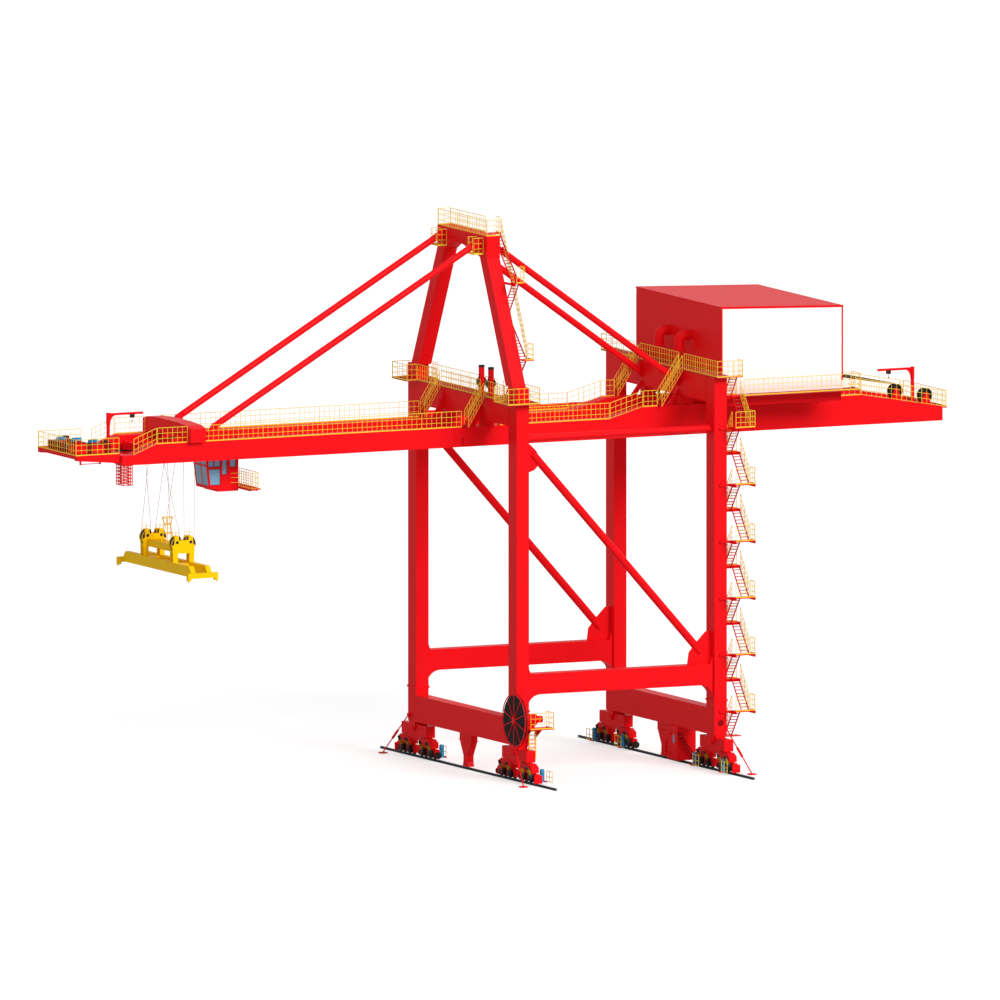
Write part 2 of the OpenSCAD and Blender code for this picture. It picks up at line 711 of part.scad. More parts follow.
// Rope sheaves on those stands
module rear_sheaves() {
  color(black) {
    for (y = gallery_sheaves) {
      disc_y([50, y, front_deck + 430], 400, 44);
      disc_y([50, y, front_deck + 430], 100, 60);
    }
    for (x = tail_sheaves) disc_y([x, -girder_y, deep_top - tail_fall * (x - tail_x) + 310], 540, 200);
  }
}
jib_x = [tip_x + 305, girder_end - 350];
jib_foot = [girder_z0 + 350, girder_z0 + 460];
jib_z = [girder_z0 + 1300, girder_z0 + 1360];
// Fixed posts of the two service jibs
module jib_posts() {
  color(red) for (i = [0, 1]) translate([jib_x[i], 0, jib_foot[i]]) {
    cylinder(h = jib_z[i] - jib_foot[i] - run_gap, d = 130);
    cylinder(h = plate, d = 280);
  }
}
// Slewing mast, arm and hoist of a service jib, arm along X
module jib_arm(d) {
  cylinder(h = 440, d = 150);
  box(d > 0 ? 0 : -1400, d > 0 ? 1400 : 0, -45, 45, 340, 420);
  prof_y(concat([[0, 30]], [for (i = [0:5]) [d * (75 + 225 * (1 - cos(i * 18))), 30 + 310 * sin(i * 18)]], [[0, 340]]),
    -25, 25);
  box(d > 0 ? 900 : -1040, d > 0 ? 1040 : -900, -50, 50, 220, 340);
}
// Slewing service jib at the boom tip
module tip_jib() {
  color(red) translate([jib_x[0], 0, jib_z[0]]) jib_arm(1);
}
// Slewing service jib at the rear end
module rear_jib() {
  color(red) translate([jib_x[1], 0, jib_z[1]]) jib_arm(-1);
}
pod_in = leg_y - 555;
pod_out = leg_y + 695;
rear_deck = 180;
// Gallery decks on the cross beams, beside the house and at the rear
module galleries() {
  color(dark_red) {
    difference() {
      union() {
        box(-320, 320, -pod_in, pod_in, front_top, front_deck);
        box(320, climb_end, pylon_step, pylon_step + 480, front_top, front_deck);
        for (s = [-1, 1]) side_box(s, -750, 560, pod_in, pod_out, front_top, front_deck);
      }
      for (s = [-1, 1])
        box(-half_w, half_w, s * leg_y - leg_d / 2, s * leg_y + leg_d / 2, front_top - 100, front_deck + 100);
    }
    box(gauge - 300, back_end, -pod_out, pod_out, leg_top, back_deck);
    for (s = [-1, 1]) side_box(s, stair_end, house_x1 + 425, house_half - 150, house_half + 650, gallery_z - deck, gallery_z);
    box(girder_end, girder_end + rear_deck, -out_y, out_y, girder_z0 + 460, girder_z0 + 500);
    for (s = [-1, 1])
      box(girder_end, girder_end + rear_deck - 20, s * 1000 - 60, s * 1000 + 60, girder_z0 + 340, girder_z0 + 460);
  }
}
// Stair landings on their brackets
module stair_landings() {
  x0 = stair_x;
  x1 = stair_end;
  out = -leg_y - 995;
  in = -house_half - 50;
  color(red) {
    for (i = [0:storeys - 1]) {
      z = big_z + storey * i;
      box(x0, x1, out, stair_near, z - deck, z);
      box(gauge - 50, x1, -leg_face - 85, -leg_face, z - 110, z - deck);
      for (x = [x0, x1 - 40]) box(x, x + 40, out, -leg_face, z - 110, z - deck);
    }
    for (i = [0:storeys]) {
      z = half_z + storey * i;
      box(x0, x1, stair_far, in, z - deck, z);
      if (i > 0) box(gauge + half_w, x1, stair_far + 40, stair_far + 110, z - 100, z - deck);
      if (i == 0) box(gauge + half_w, x0, stair_far + 40, in - 50, z - deck, sill_z0 + 250);
    }
    box(back_end, x0 + 440, -pod_out, -leg_y - 309, leg_top, back_deck);
    for (v = [[rest_1y - 510, rest_1y, rest_1], [rest_2y, rest_2y + 400, rest_2], [rest_3y - 400, rest_3y, rest_3]])
      box(beam_half, climb_end, v[0], v[1], v[2] - deck, v[2]);
    box(beam_half, 296, rest_2y - 600, rest_2y + 400, rest_2 - 100, rest_2 - deck);
    box(beam_half, 296, rest_3y - 400, rest_3y + 750, rest_3 - 110, rest_3 - deck);
    box(beam_half + 15, climb_end, -1400, -950, apex_z1 - deck, apex_z1);
  }
}
// Every flight along Y: the X range, then Y and Z of both ends
flights = concat(
  [for (i = [0:storeys - 1]) [stair_x + 80, stair_x + 390, stair_far, half_z + storey * i, stair_near, big_z + storey * i]],
  [for (i = [0:storeys - 1]) [stair_x + 430, stair_x + 740, stair_near, big_z + storey * i, stair_far, half_z + storey * (i + 1)]],
  [[stair_x + 80, stair_x + 390, stair_far, gallery_z, -leg_y - 309, back_deck],
   [climb_x, climb_x + 280, pylon_step, front_deck, rest_1y, rest_1],
   [climb_x, climb_x + 280, rest_1y, rest_1, rest_2y, rest_2],
   [climb_x, climb_x + 280, rest_2y, rest_2, rest_3y, rest_3],
   [climb_x, climb_x + 280, rest_3y, rest_3, -1400, apex_z1]]);
// Flights along X beside the stays: foot X and Z, head X and Z
side_flights = [[hinge_x + 80, boom_top, -320, front_deck], [deep_x + 600, deep_top, gauge - 300, back_deck]];
cabin_x = gauge - 350;
cabin_y = -1660;
// Stair on the near face of the ground cabin: foot X and Z, head X and Z
cabin_flight = [cabin_x + 767, 0, cabin_x, 1150];
// Stringers of every flight of stairs
module stair_stringers() {
  color(red) {
    for (f = flights) strings_y(f[0], f[1], f[2], f[3], f[4], f[5]);
    for (s = [-1, 1]) for (f = side_flights)
      strings_x(s * side_stair - 160, s * side_stair + 160, f[0], f[1], f[2], f[3]);
    strings_x(cabin_y - 280, cabin_y, cabin_flight[0], cabin_flight[1], cabin_flight[2], cabin_flight[3]);
  }
}
// Treads of every flight of stairs
module stair_treads() {
  color(red) {
    for (f = flights) treads_y(f[0], f[1], f[2], f[3], f[4], f[5]);
    for (s = [-1, 1]) for (f = side_flights)
      treads_x(s * side_stair - 160, s * side_stair + 160, f[0], f[1], f[2], f[3]);
    treads_x(cabin_y - 280, cabin_y, cabin_flight[0], cabin_flight[1], cabin_flight[2], cabin_flight[3]);
  }
}
// Handrails on the boom, the girders and the sides of the tip platform
module girder_handrails() {
  seat = 0.3;
  low = girder_z0 + 360;
  tip_k = (boom_top - low) / 965;
  kink_k = (deep_top - boom_top) / (deep_x - kink_x);
  tail_k = (tail_z - deep_top) / tail_len;
  color(yellow) for (s = [-1, 1]) {
    y = s * (out_y - 20);
    rail_x(tip_x - 1755, tip_x - 25, s * (girder_y + 55), tip_deck, tip_deck);
    rail_x(tip_x + 485, tip_x + 1400, y, low + 25 * tip_k + seat, low + 940 * tip_k + seat);
    rail_x(tip_x + 1445, tie_x - 30, y, boom_top, boom_top);
    rail_x(tie_x + 630, hinge_x - 50, y, boom_top, boom_top);
    rail_x(420, kink_x - 20, y, boom_top, boom_top);
    rail_x(kink_x + 25, deep_x - 25, y, boom_top + 25 * kink_k + seat, deep_top - 25 * kink_k + seat);
    rail_x(deep_x + 20, deep_x + 560, y, deep_top, deep_top);
    rail_x(house_x1 + 455, tail_x - 25, y, deep_top, deep_top);
    rail_x(tail_x + 25, girder_end - 25, y, deep_top + 25 * tail_k + seat, tail_z - 25 * tail_k + seat);
  }
}
// Handrails on the galleries, the tip platform and the apex
module gallery_handrails() {
  rear = girder_z0 + 500;
  basket = apex_z0 + 150;
  stay_r = stay_d / 2;
  color(yellow) {
    rail_y(-girder_y - 20, girder_y + 20, tip_x - 1755, tip_deck, tip_deck);
    rail_y(-out_y + 25, out_y - 25, girder_end + rear_deck - 20, rear, rear);
    for (s = [-1, 1]) {
      rail_x(girder_end + 20, girder_end + rear_deck - 55, s * (out_y - 25), rear, rear);
      rail_x(-730, 540, s * (pod_out - 20), front_deck, front_deck);
      side_rail(s, pod_in + 20, pod_out - 55, -730, front_deck);
      side_rail(s, pod_in + 20, pod_out - 55, 540, front_deck);
      rail_x(-700, -340, s * (pod_in + 15), front_deck, front_deck);
      side_rail(s, side_stair + 230, pod_in - 20, -300, front_deck);
      rail_x(gauge - 280, back_end - 20, s * (pod_out - 20), back_deck, back_deck);
      side_rail(s, side_stair + 230, pod_out - 55, gauge - 280, back_deck);
      rail_x(stair_end + 20, house_x1 + 405, s * (house_half + 630), gallery_z, gallery_z);
      side_rail(s, house_half - 130, house_half + 595, house_x1 + 405, gallery_z);
      rail_x(-240, beam_half - 5, s * (apex_half - 20), apex_z1, apex_z1);
      for (t = [-1, 1]) {
        y = s * girder_y + t * (stay_r + 60);
        rail_y(y - 45, y + 45, -640, basket, basket);
        rail_x(-640, -275, s * girder_y + t * (stay_r + 140), basket, basket);
      }
      box(-660, -beam_half, s * girder_y - stay_r - 155, s * girder_y + stay_r + 155, basket - 20, basket);
    }
    rail_y(-side_stair + 230, side_stair - 230, gauge - 280, back_deck, back_deck);
    rail_y(-side_stair + 230, side_stair - 230, -300, front_deck, front_deck);
    rail_y(-pod_in + 20, pylon_step - 30, 300, front_deck, front_deck);
    rail_y(pylon_step + 500, pod_in - 20, 300, front_deck, front_deck);
    rail_y(-apex_half + 55, apex_half - 55, -240, apex_z1, apex_z1);
    rail_y(-900, apex_half - 55, beam_half - 5, apex_z1, apex_z1);
  }
}
// Handrail beside a flight along Y, on the face x of its stringer
module flight_rail(x, f) {
  k = (f[5] - f[3]) / (f[4] - f[2]);
  a = min(f[2], f[4]) + 20;
  b = max(f[2], f[4]) - 20;
  rail_y(a, b, x, f[3] + k * (a - f[2]) - 20, f[3] + k * (b - f[2]) - 20, rows = 2);
}
// Handrails of the stairs and their landings
module stair_handrails() {
  e = bar / 2;
  color(yellow) {
    for (i = [0:storeys - 1]) {
      z = big_z + storey * i;
      far_z = half_z + storey * (i + 1);
      rail_x(stair_x + 20, stair_end - 20, -leg_y - 980, z, z);
      rail_y(-leg_y - 950, stair_near - 25, stair_end - 20, z, z);
      rail_x(stair_x + 20, stair_end - 20, -house_half - 65, far_z, far_z);
      flight_rail(stair_x + 80 - e, flights[i]);
      flight_rail(stair_x + 740 + e, flights[storeys + i]);
    }
    for (i = [1:4]) {
      f = flights[2 * storeys + i];
      flight_rail(f[1] + e, f);
    }
    rail_x(back_end + 20, stair_x + 425, -pod_out + 15, back_deck, back_deck);
    rail_y(-pod_out + 45, -leg_y - 325, stair_x + 425, back_deck, back_deck);
    rail_y(rest_1y - 490, rest_1y - 40, climb_end - 17, rest_1, rest_1);
    rail_x(climb_x, climb_end - 60, rest_1y - 490, rest_1, rest_1);
    rail_y(rest_3y - 380, rest_3y - 40, climb_end - 17, rest_3, rest_3);
    rail_x(climb_x, climb_end - 60, rest_3y - 380, rest_3, rest_3);
    rail_x(climb_x, climb_end - 60, rest_2y + 380, rest_2, rest_2);
    rail_y(-1380, -970, climb_end - 17, apex_z1, apex_z1);
    for (s = [-1, 1]) for (t = [-1, 1]) for (f = side_flights) {
      k = (f[3] - f[1]) / (f[2] - f[0]);
      rail_x(f[0] + 50, f[2] - 30, s * side_stair + t * (160 + e), f[1] + 50 * k - 50, f[3] - 30 * k - 50);
    }
    rail_y(reel_c[1] - 355, -leg_face - 25, 930, reel_deck, reel_deck);
    rail_x(0, 930, reel_c[1] - 385, reel_deck, reel_deck);
  }
}
// Trolley frame between the girders
module trolley_frame() {
  t = trolley_x;
  z = girder_z0 + 240;
  in = face_y - 385;
  color(red) {
    for (s = [-1, 1]) {
      side_box(s, t - 1300, t + 3300, in, in + 180, z, z + 300);
      for (x = [t - 1050, t + 3050]) side_box(s, x - 150, x + 150, in + 180, in + 260, z - 10, z + 220);
      for (e = [-65, 75]) side_box(s, t - 720, t + 870, sheave_y + e, sheave_y + e + 35, z + 60, z + 340);
    }
    for (x = [t - 1250, t - 860, t + 850, t + 3100]) box(x, x + 160, -in, in, z + 20, z + 280);
    box(t + 1250, cab_x1, -in, in, cab_top, cab_top + 100);
  }
}
// Trolley rope sheaves: X from the trolley centre and diameter
top_sheaves = [[-480, 240], [540, 420]];
// Trolley wheels and the rope sheaves on the trolley
module trolley_sheaves() {
  t = trolley_x;
  wheel_d = 240;
  color(black) for (s = [-1, 1]) {
    for (x = [t - 1050, t + 3050]) disc_y([x, s * (face_y - 85), girder_z0 + 190 + wheel_d / 2 + run_gap], wheel_d, 80);
    for (v = top_sheaves) disc_y([t + v[0], s * sheave_y, sheave_z], v[1], 60);
  }
}
// Outline of a cab side window between two heights, with its raked front edge
function cab_front(z) = cab_x0 + cab_rake * max(0, (cab_top - 550 - z) / (cab_h - 550));
function raked_pane(gap, x1, z0, z1) =
  [[cab_front(z0) + gap, z0], [x1, z0], [x1, z1], [cab_front(z1) + gap, z1]];
sill_pane = cab_z + 135;
mid_pane = cab_z + 730;
head_pane = cab_top - 120;
// Side panes: lower front, upper front pair, door light and rear light
side_panes = [raked_pane(60, cab_x0 + 540, sill_pane, mid_pane),
  raked_pane(60, cab_x0 + 280, mid_pane + 65, head_pane),
  [[cab_x0 + 310, mid_pane + 65], [cab_x0 + 540, mid_pane + 65], [cab_x0 + 540, head_pane], [cab_x0 + 310, head_pane]],
  [[cab_x0 + 625, cab_z + 510], [cab_x0 + 810, cab_z + 510], [cab_x0 + 810, head_pane], [cab_x0 + 625, head_pane]],
  [[cab_x0 + 940, mid_pane + 40], [cab_x1 - 100, mid_pane + 40], [cab_x1 - 100, head_pane], [cab_x0 + 940, head_pane]]];
// Front band of glass that follows the rake between two heights
function front_band(d0, d1, z0, z1) =
  [[cab_front(z0) + d0, z0], [cab_front(z0) + d1, z0], [cab_front(z1) + d1, z1], [cab_front(z1) + d0, z1]];
front_panes = [[cab_z + 110, cab_top - 580], [cab_top - 520, head_pane]];
// Operator cab shell with raked front
module cab_shell() {
  a = cab_x0;
  b = cab_x1;
  w = plate;
  knee = cab_top - 550;
  color(red) difference() {
    union() {
      prof_y([[a + cab_rake, cab_z], [b, cab_z], [b, cab_top], [a, cab_top], [a, knee]], -cab_y, cab_y);
      box(a + 430, b, -cab_y, cab_y, cab_z - 110, cab_z);
    }
    prof_y([[a + cab_rake + w - 5, cab_z + w], [b - w, cab_z + w], [b - w, cab_top - w], [a + w, cab_top - w],
      [a + w, knee + 5]], -cab_y + w, cab_y - w);
    for (v = front_panes) for (s = [-1, 1])
      prof_y(front_band(-20, w + 40, v[0], v[1]), s > 0 ? 20 : -cab_y + 80, s > 0 ? cab_y - 80 : -20);
    for (s = [-1, 1]) for (p = side_panes) prof_y(p, s > 0 ? cab_y - 70 : -cab_y - 30, s > 0 ? cab_y + 30 : -cab_y + 70);
    box(b - 60, b + 20, -200, 280, cab_z + w, cab_top - 280);
  }
}
// Cab window panes
module cab_glass() {
  color(glass) {
    for (v = front_panes) for (s = [-1, 1])
      prof_y(front_band(12, 27, v[0], v[1]), s > 0 ? 20 : -cab_y + 80, s > 0 ? cab_y - 80 : -20);
    for (s = [-1, 1]) for (p = side_panes) prof_y(p, s > 0 ? cab_y - 27 : -cab_y + 13, s > 0 ? cab_y - 13 : -cab_y + 27);
  }
}
// Access deck behind the cab that reaches under the near girder, with its rails
module cab_deck() {
  b = cab_x1;
  z = cab_z + plate;
  out = -cab_y - 1180;
  color(red) translate([0, 0, cab_z])
    linear_extrude(height = plate) polygon([[b, cab_y], [b, out], [b + 500, out + 330], [b + 420, cab_y]]);
  color(yellow) {
    rail_y(out + 60, -cab_y - 20, b + 20, z, z);
    rail_y(out + 400, cab_y - 60, b + 395, z, z);
    rail_x(b + 20, b + 370, cab_y - 20, z, z);
    rail_x(b + 60, b + 250, out + 230, z, z);
  }
}
// Eight rope falls: top sheave, its side, X at the headblock and offset along Y
falls = [[0, 1, -460, 15], [0, -1, -70, -15], [1, -1, 90, 15], [1, 1, 480, -15]];
module hoist_ropes() {
  t = trolley_x;
  color(steel) for (s = [-1, 1]) for (v = falls) {
    x = top_sheaves[v[0]][0];
    r = (top_sheaves[v[0]][1] + rope_d) / 2 + run_gap;
    z = block_z + 816;
    k = (v[2] - x - v[1] * r) / (sheave_z - z);
    reach = v[1] * k < 0 ? r * sqrt(1 + k * k) : r;
    rod([t + x + v[1] * reach, s * sheave_y + v[3], sheave_z], [t + v[2], s * block_y + v[3], z], rope_d);
  }
}
// Headblock with two sheave housings and the cable basket
module headblock() {
  z = block_z;
  half = [[230, z + 325], [230, z], [420, z], [440, z + 525], [490, z + 635], [470, z + 775], [330, z + 965],
    [150, z + 965], [90, z + 805]];
  color(spreader_yellow) translate([trolley_x, 0, 0]) {
    for (s = [-1, 1]) {
      for (k = [-110, 110])
        prof_y(concat(half, [for (i = [8:-1:0]) [-half[i][0], half[i][1]]]), s * block_y + k - 30, s * block_y + k + 30);
      box(-420, 420, s * block_y - 80, s * block_y + 80, z + 325, z + 425);
    }
    box(-260, 260, -block_y + 140, block_y - 140, z + 345, z + 605);
    for (i = [0:5]) rotate([0, 0, i * 60])
      prof_y([[215, z + 595], [237, z + 595], [146, z + 1260], [212, z + 1505], [190, z + 1505], [124, z + 1260]], -10, 10);
    for (v = [[186, 1491], [119, 1247], [167, 915]]) translate([0, 0, z + v[1]]) difference() {
      cylinder(h = 26, r = v[0] + 32);
      translate([0, 0, -5]) cylinder(h = 36, r = v[0]);
    }
  }
}
// Headblock sheaves
module headblock_sheaves() {
  color(black) for (s = [-1, 1]) for (x = [-265, 285]) disc_y([trolley_x + x, s * block_y, block_z + 735], 400, 160);
}
// Spreader with end beams and twistlocks
module spreader() {
  hy = lock_y / 2;
  hx = lock_x / 2;
  z = lock_z;
  color(spreader_yellow) translate([trolley_x, 0, 0]) for (s = [-1, 1]) {
    prof_x([[-hy + 86, z + 110], [hy - 86, z + 110], [hy - 86, z + 245], [hy - 296, z + 500], [296 - hy, z + 500],
      [86 - hy, z + 245]], s * 325 - 95, s * 325 + 95);
    box(-230, 230, s * block_y - 160, s * block_y + 160, z + 185, z + 455);
    side_box(s, -hx - 45, hx + 45, hy - 100, hy + 50, z + 85, z + 275);
    for (k = [-1, 1]) {
      side_box(s, k > 0 ? hx - 90 : -hx - 45, k > 0 ? hx + 45 : 90 - hx, hy - 100, hy + 50, z, z + 85);
      translate([k * hx, s * hy, z - 60]) cylinder(h = 62, r = 30);
    }
  }
}
// Reel rims, spokes and hub
module reel_frame() {
  color(red) translate(reel_c) rotate([0, 90, 0]) {
    for (z = [-62, 42]) {
      translate([0, 0, z]) difference() {
        cylinder(h = 20, r = reel_r);
        translate([0, 0, -5]) cylinder(h = 30, r = reel_r - 40);
      }
      for (i = [0:reel_spokes - 1]) rotate([0, 0, i * 360 / reel_spokes])
        translate([100, -14, z]) cube([reel_r - 120, 28, 20]);
    }
    translate([0, 0, -80]) cylinder(h = 160, r = 130);
  }
}
// Flat spiral of cable on the reel
module reel_cable() {
  color(black) translate(reel_c) rotate([0, 90, 0]) difference() {
    translate([0, 0, -42]) cylinder(h = 84, r = reel_r - 60);
    translate([0, 0, -60]) cylinder(h = 120, r = 130);
  }
}
// Reel drive, axle stub and its platform on the leg
module reel_drive() {
  y = reel_c[1];
  z = reel_c[2];
  floor_z = reel_deck - deck;
  color(red) {
    disc_x([reel_c[0] + 80 + run_gap, y, z], 200, 170);
    disc_x([-200, y, z], 440, 560);
    disc_x([360, y, z], 260, 260);
    box(-100, 300, y - 90, -leg_face, reel_deck, z - 140);
    box(-20, 950, y - 410, -leg_face, floor_z, reel_deck);
    for (x = [60, 470]) prof_x([[-leg_face, floor_z], [-leg_face, floor_z - 380], [y - 300, floor_z]], x, x + 40);
    for (x = [150, 410]) box(x, x + 30, -leg_face - 175, -leg_face - 145, sill_z0 - 100, floor_z);
    for (i = [0:4]) box(180, 410, -leg_face - 170, -leg_face - 150, sill_z0 - 60 + i * 150, sill_z0 - 35 + i * 150);
  }
}
door_y = [cabin_y + 106, -1080];
hinge_z = [300, 980];
barrel = 24;
door_axis = [cabin_x - 14, door_y[1]];
// Cabin under the landside sill beam with its hinge halves
module ground_cabin() {
  a = cabin_x;
  b = gauge + 400;
  y0 = cabin_y;
  y1 = cabin_y + 840;
  floor_z = 155;
  color(red) {
    difference() {
      box(a, b, y0, y1, 115, sill_z0);
      box(a + 35, b - 35, y0 + 35, y1 - 35, floor_z, sill_z0 - 35);
      box(a - 10, a + 50, door_y[0] - 6, door_y[1], floor_z, sill_z0 - 170);
      box(b - 50, b + 20, y0 + 210, y0 + 630, 750, sill_z0 - 250);
    }
    for (z = hinge_z) translate([0, 0, 60 + run_gap]) {
      translate([door_axis[0], door_axis[1], z]) cylinder(h = 60, d = barrel);
      box(a - 10, a, door_y[1], door_y[1] + 90, z, z + 60);
    }
  }
}
// Cabin door with a rounded window and its hinge halves
module cabin_door() {
  a = cabin_x;
  top = sill_z0 - 177;
  color(red) {
    difference() {
      box(a, a + 30, door_y[0], door_y[1] - run_gap, 162, top);
      translate([a - 5, (door_y[0] + door_y[1]) / 2, 0]) {
        box(0, 40, -90, 90, top - 370, top - 220);
        for (z = [top - 370, top - 220]) disc_x([0, 0, z], 180, 40);
      }
    }
    for (z = hinge_z) {
      translate([door_axis[0], door_axis[1], z]) cylinder(h = 60, d = barrel);
      box(a - 10, a, door_y[1] - 90, door_y[1], z, z + 60);
    }
  }
}

rails();
gantry_wheels();
bogie_frames();
gantry_drives();
equalizers();
sill_beams();
anchor_posts();
storm_ties();
rail_clamps();
legs();
portal_beams();
tie_tubes();
braces();
cross_beam_waterside();
cross_beam_landside();
boom_girders();
main_girders();
girder_ties();
boom_hinges();
trolley_rails();
pylon_legs();
apex_beam();
forestays();
backstays();
house_floor();
house_end_walls();
house_side_walls();
house_roof();
vent_cowls();
tip_platform();
tip_machinery();
tip_cage();
sheave_stands();
rear_sheaves();
jib_posts();
tip_jib();
rear_jib();
galleries();
stair_landings();
stair_stringers();
stair_treads();
girder_handrails();
gallery_handrails();
stair_handrails();
trolley_frame();
trolley_sheaves();
cab_shell();
cab_glass();
cab_deck();
hoist_ropes();
headblock();
headblock_sheaves();
spreader();
reel_frame();
reel_cable();
reel_drive();
ground_cabin();
cabin_door();
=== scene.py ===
# %% [markdown]
# # A ship to shore crane, dressed for its picture
# The CAD model of the crane is a 1:2 scale model in metres, and it already has every main form.
# This lesson keeps those solids, gives each one a painted or bare metal finish, and adds the small
# pieces that a mesh does better: round handrails, wheels, sheaves, ropes, bolts and glazing bars.
# The frame is loaded first.

# %% Load the imported frame
import json
import math

import bmesh
import bpy
from mathutils import Matrix, Vector


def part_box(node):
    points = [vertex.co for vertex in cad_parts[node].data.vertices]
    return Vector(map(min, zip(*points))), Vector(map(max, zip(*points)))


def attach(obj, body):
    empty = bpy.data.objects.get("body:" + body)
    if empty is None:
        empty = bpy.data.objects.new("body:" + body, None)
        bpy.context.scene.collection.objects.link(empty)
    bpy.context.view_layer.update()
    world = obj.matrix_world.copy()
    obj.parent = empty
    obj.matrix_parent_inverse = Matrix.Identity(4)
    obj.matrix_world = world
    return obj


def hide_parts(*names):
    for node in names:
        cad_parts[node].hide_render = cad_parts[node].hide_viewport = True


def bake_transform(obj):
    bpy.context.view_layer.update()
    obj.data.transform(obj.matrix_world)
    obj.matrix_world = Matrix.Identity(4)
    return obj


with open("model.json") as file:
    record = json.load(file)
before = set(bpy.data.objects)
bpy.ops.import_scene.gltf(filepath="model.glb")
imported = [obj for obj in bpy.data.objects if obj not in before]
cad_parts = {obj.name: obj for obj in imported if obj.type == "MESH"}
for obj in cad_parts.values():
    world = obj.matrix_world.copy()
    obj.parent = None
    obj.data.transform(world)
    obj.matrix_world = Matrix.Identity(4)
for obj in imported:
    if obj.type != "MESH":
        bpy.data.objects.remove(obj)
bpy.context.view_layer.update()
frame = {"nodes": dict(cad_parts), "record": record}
MM = 0.001

# %% [markdown]
# ## Places that the whole crane shares
# Nothing is measured twice. A joint of the imported record gives the reel, and the boxes of a few nodes give
# the gauge, the trolley, the wheels and the levels. If the CAD model changes, they follow.

# %% Read the main places from the frame
record = frame["record"]
joints = {joint["name"]: joint for joint in record["behaviour"]["joints"]}
reel_centre = Vector(joints["cable_reel"]["pos_m"])
rails_low, rails_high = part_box("rails")
wheels_low, wheels_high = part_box("gantry_wheels")
sill_low, sill_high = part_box("sill_beams")
block_low, block_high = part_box("headblock")
GAUGE = rails_low.x + rails_high.x
RAIL_X = (0.0, GAUGE)
WHEEL_R = (wheels_high.z - wheels_low.z) / 2
AXLE_Z = (wheels_high.z + wheels_low.z) / 2
TROLLEY_X = (block_low.x + block_high.x) / 2
print("gauge", GAUGE, "axle", AXLE_Z, "trolley", TROLLEY_X, "reel", reel_centre)

# %% [markdown]
# ## Colours and nodes
# Paint charts and screens give colours as sRGB hex codes, while shaders count in linear light, so one
# function turns the first into the second. One more function adds a node to a material: it takes the
# kind of node, what goes into its sockets (a number, a colour or another node's output) and its settings.

# %% Colour and node helpers
def srgb(code):
    """Linear colour of an sRGB hex code."""
    channels = [int(code[i:i + 2], 16) / 255 for i in (1, 3, 5)]
    linear = [c / 12.92 if c <= 0.04045 else ((c + 0.055) / 1.055) ** 2.4 for c in channels]
    return (*linear, 1.0)


def add(tree, kind, inputs=None, **settings):
    """Adds one node, sets it and links it."""
    node = tree.nodes.new(kind)
    for name, value in settings.items():
        setattr(node, name, value)
    for socket, value in (inputs or {}).items():
        if isinstance(value, bpy.types.NodeSocket):
            tree.links.new(value, node.inputs[socket])
        else:
            node.inputs[socket].default_value = value
    return node


def new_material(name):
    """An empty material with its output: returns the material, its tree and Object coordinates."""
    material = bpy.data.materials.new(name)
    material.use_nodes = True
    tree = material.node_tree
    tree.nodes.clear()
    coords = add(tree, "ShaderNodeTexCoord").outputs["Object"]
    return material, tree, coords


def close(tree, shader):
    """Links the finished shader to the output."""
    add(tree, "ShaderNodeOutputMaterial", {"Surface": shader.outputs[0]})


print("red", [round(c, 3) for c in srgb("#F4141C")])

# %% [markdown]
# ## Sprayed paint on steel plate
# A crane is blast-cleaned and sprayed with polyurethane topcoat. Close up, such paint has a fine orange
# peel that breaks reflections. From further off, the sun fades it in patches and rain draws faint
# streaks down it. The peel is about 2 mm on the real crane and is drawn at 12 mm, because it wouldn't
# show otherwise. One function makes every painted finish, since only colour, gloss and dirt differ.

# %% Sprayed paint
FADE_MM = 900
STREAK_MM = (110, 110, 1400)
PEEL_MM = 12


def sprayed_paint(name, colour, faded, gloss=0.30, dirt=0.5, peel=0.06):
    """Polyurethane topcoat: glossy, slightly faded in patches, with rain streaks down it."""
    material, tree, coords = new_material(name)
    fade = add(tree, "ShaderNodeTexNoise", {"Vector": coords, "Scale": 1 / (FADE_MM * MM), "Detail": 3.0})
    streak_map = add(tree, "ShaderNodeMapping",
                     {"Vector": coords, "Scale": [1 / (mm * MM) for mm in STREAK_MM]})
    streak = add(tree, "ShaderNodeTexNoise", {"Vector": streak_map.outputs[0], "Scale": 1.0, "Detail": 4.0})
    both = add(tree, "ShaderNodeMath", {0: fade.outputs[0], 1: streak.outputs[0]}, operation="MULTIPLY")
    wear = add(tree, "ShaderNodeMapRange", {"Value": both.outputs[0], "From Min": 0.22, "From Max": 0.48,
                                            "To Min": 0.0, "To Max": dirt})
    blend = add(tree, "ShaderNodeMix", {"Factor": wear.outputs[0], "A": srgb(colour), "B": srgb(faded)},
                data_type="RGBA")
    rough = add(tree, "ShaderNodeMapRange", {"Value": streak.outputs[0], "From Min": 0.3, "From Max": 0.7,
                                             "To Min": gloss - 0.02, "To Max": gloss + 0.05})
    grain = add(tree, "ShaderNodeTexNoise", {"Vector": coords, "Scale": 1 / (PEEL_MM * MM), "Detail": 2.0})
    bump = add(tree, "ShaderNodeBump", {"Height": grain.outputs[0], "Strength": peel, "Distance": 1.5 * MM})
    shader = add(tree, "ShaderNodeBsdfPrincipled",
                 {"Base Color": blend.outputs["Result"], "Roughness": rough.outputs[0],
                  "Normal": bump.outputs[0], "IOR": 1.5, "Specular IOR Level": 0.05})
    close(tree, shader)
    return material


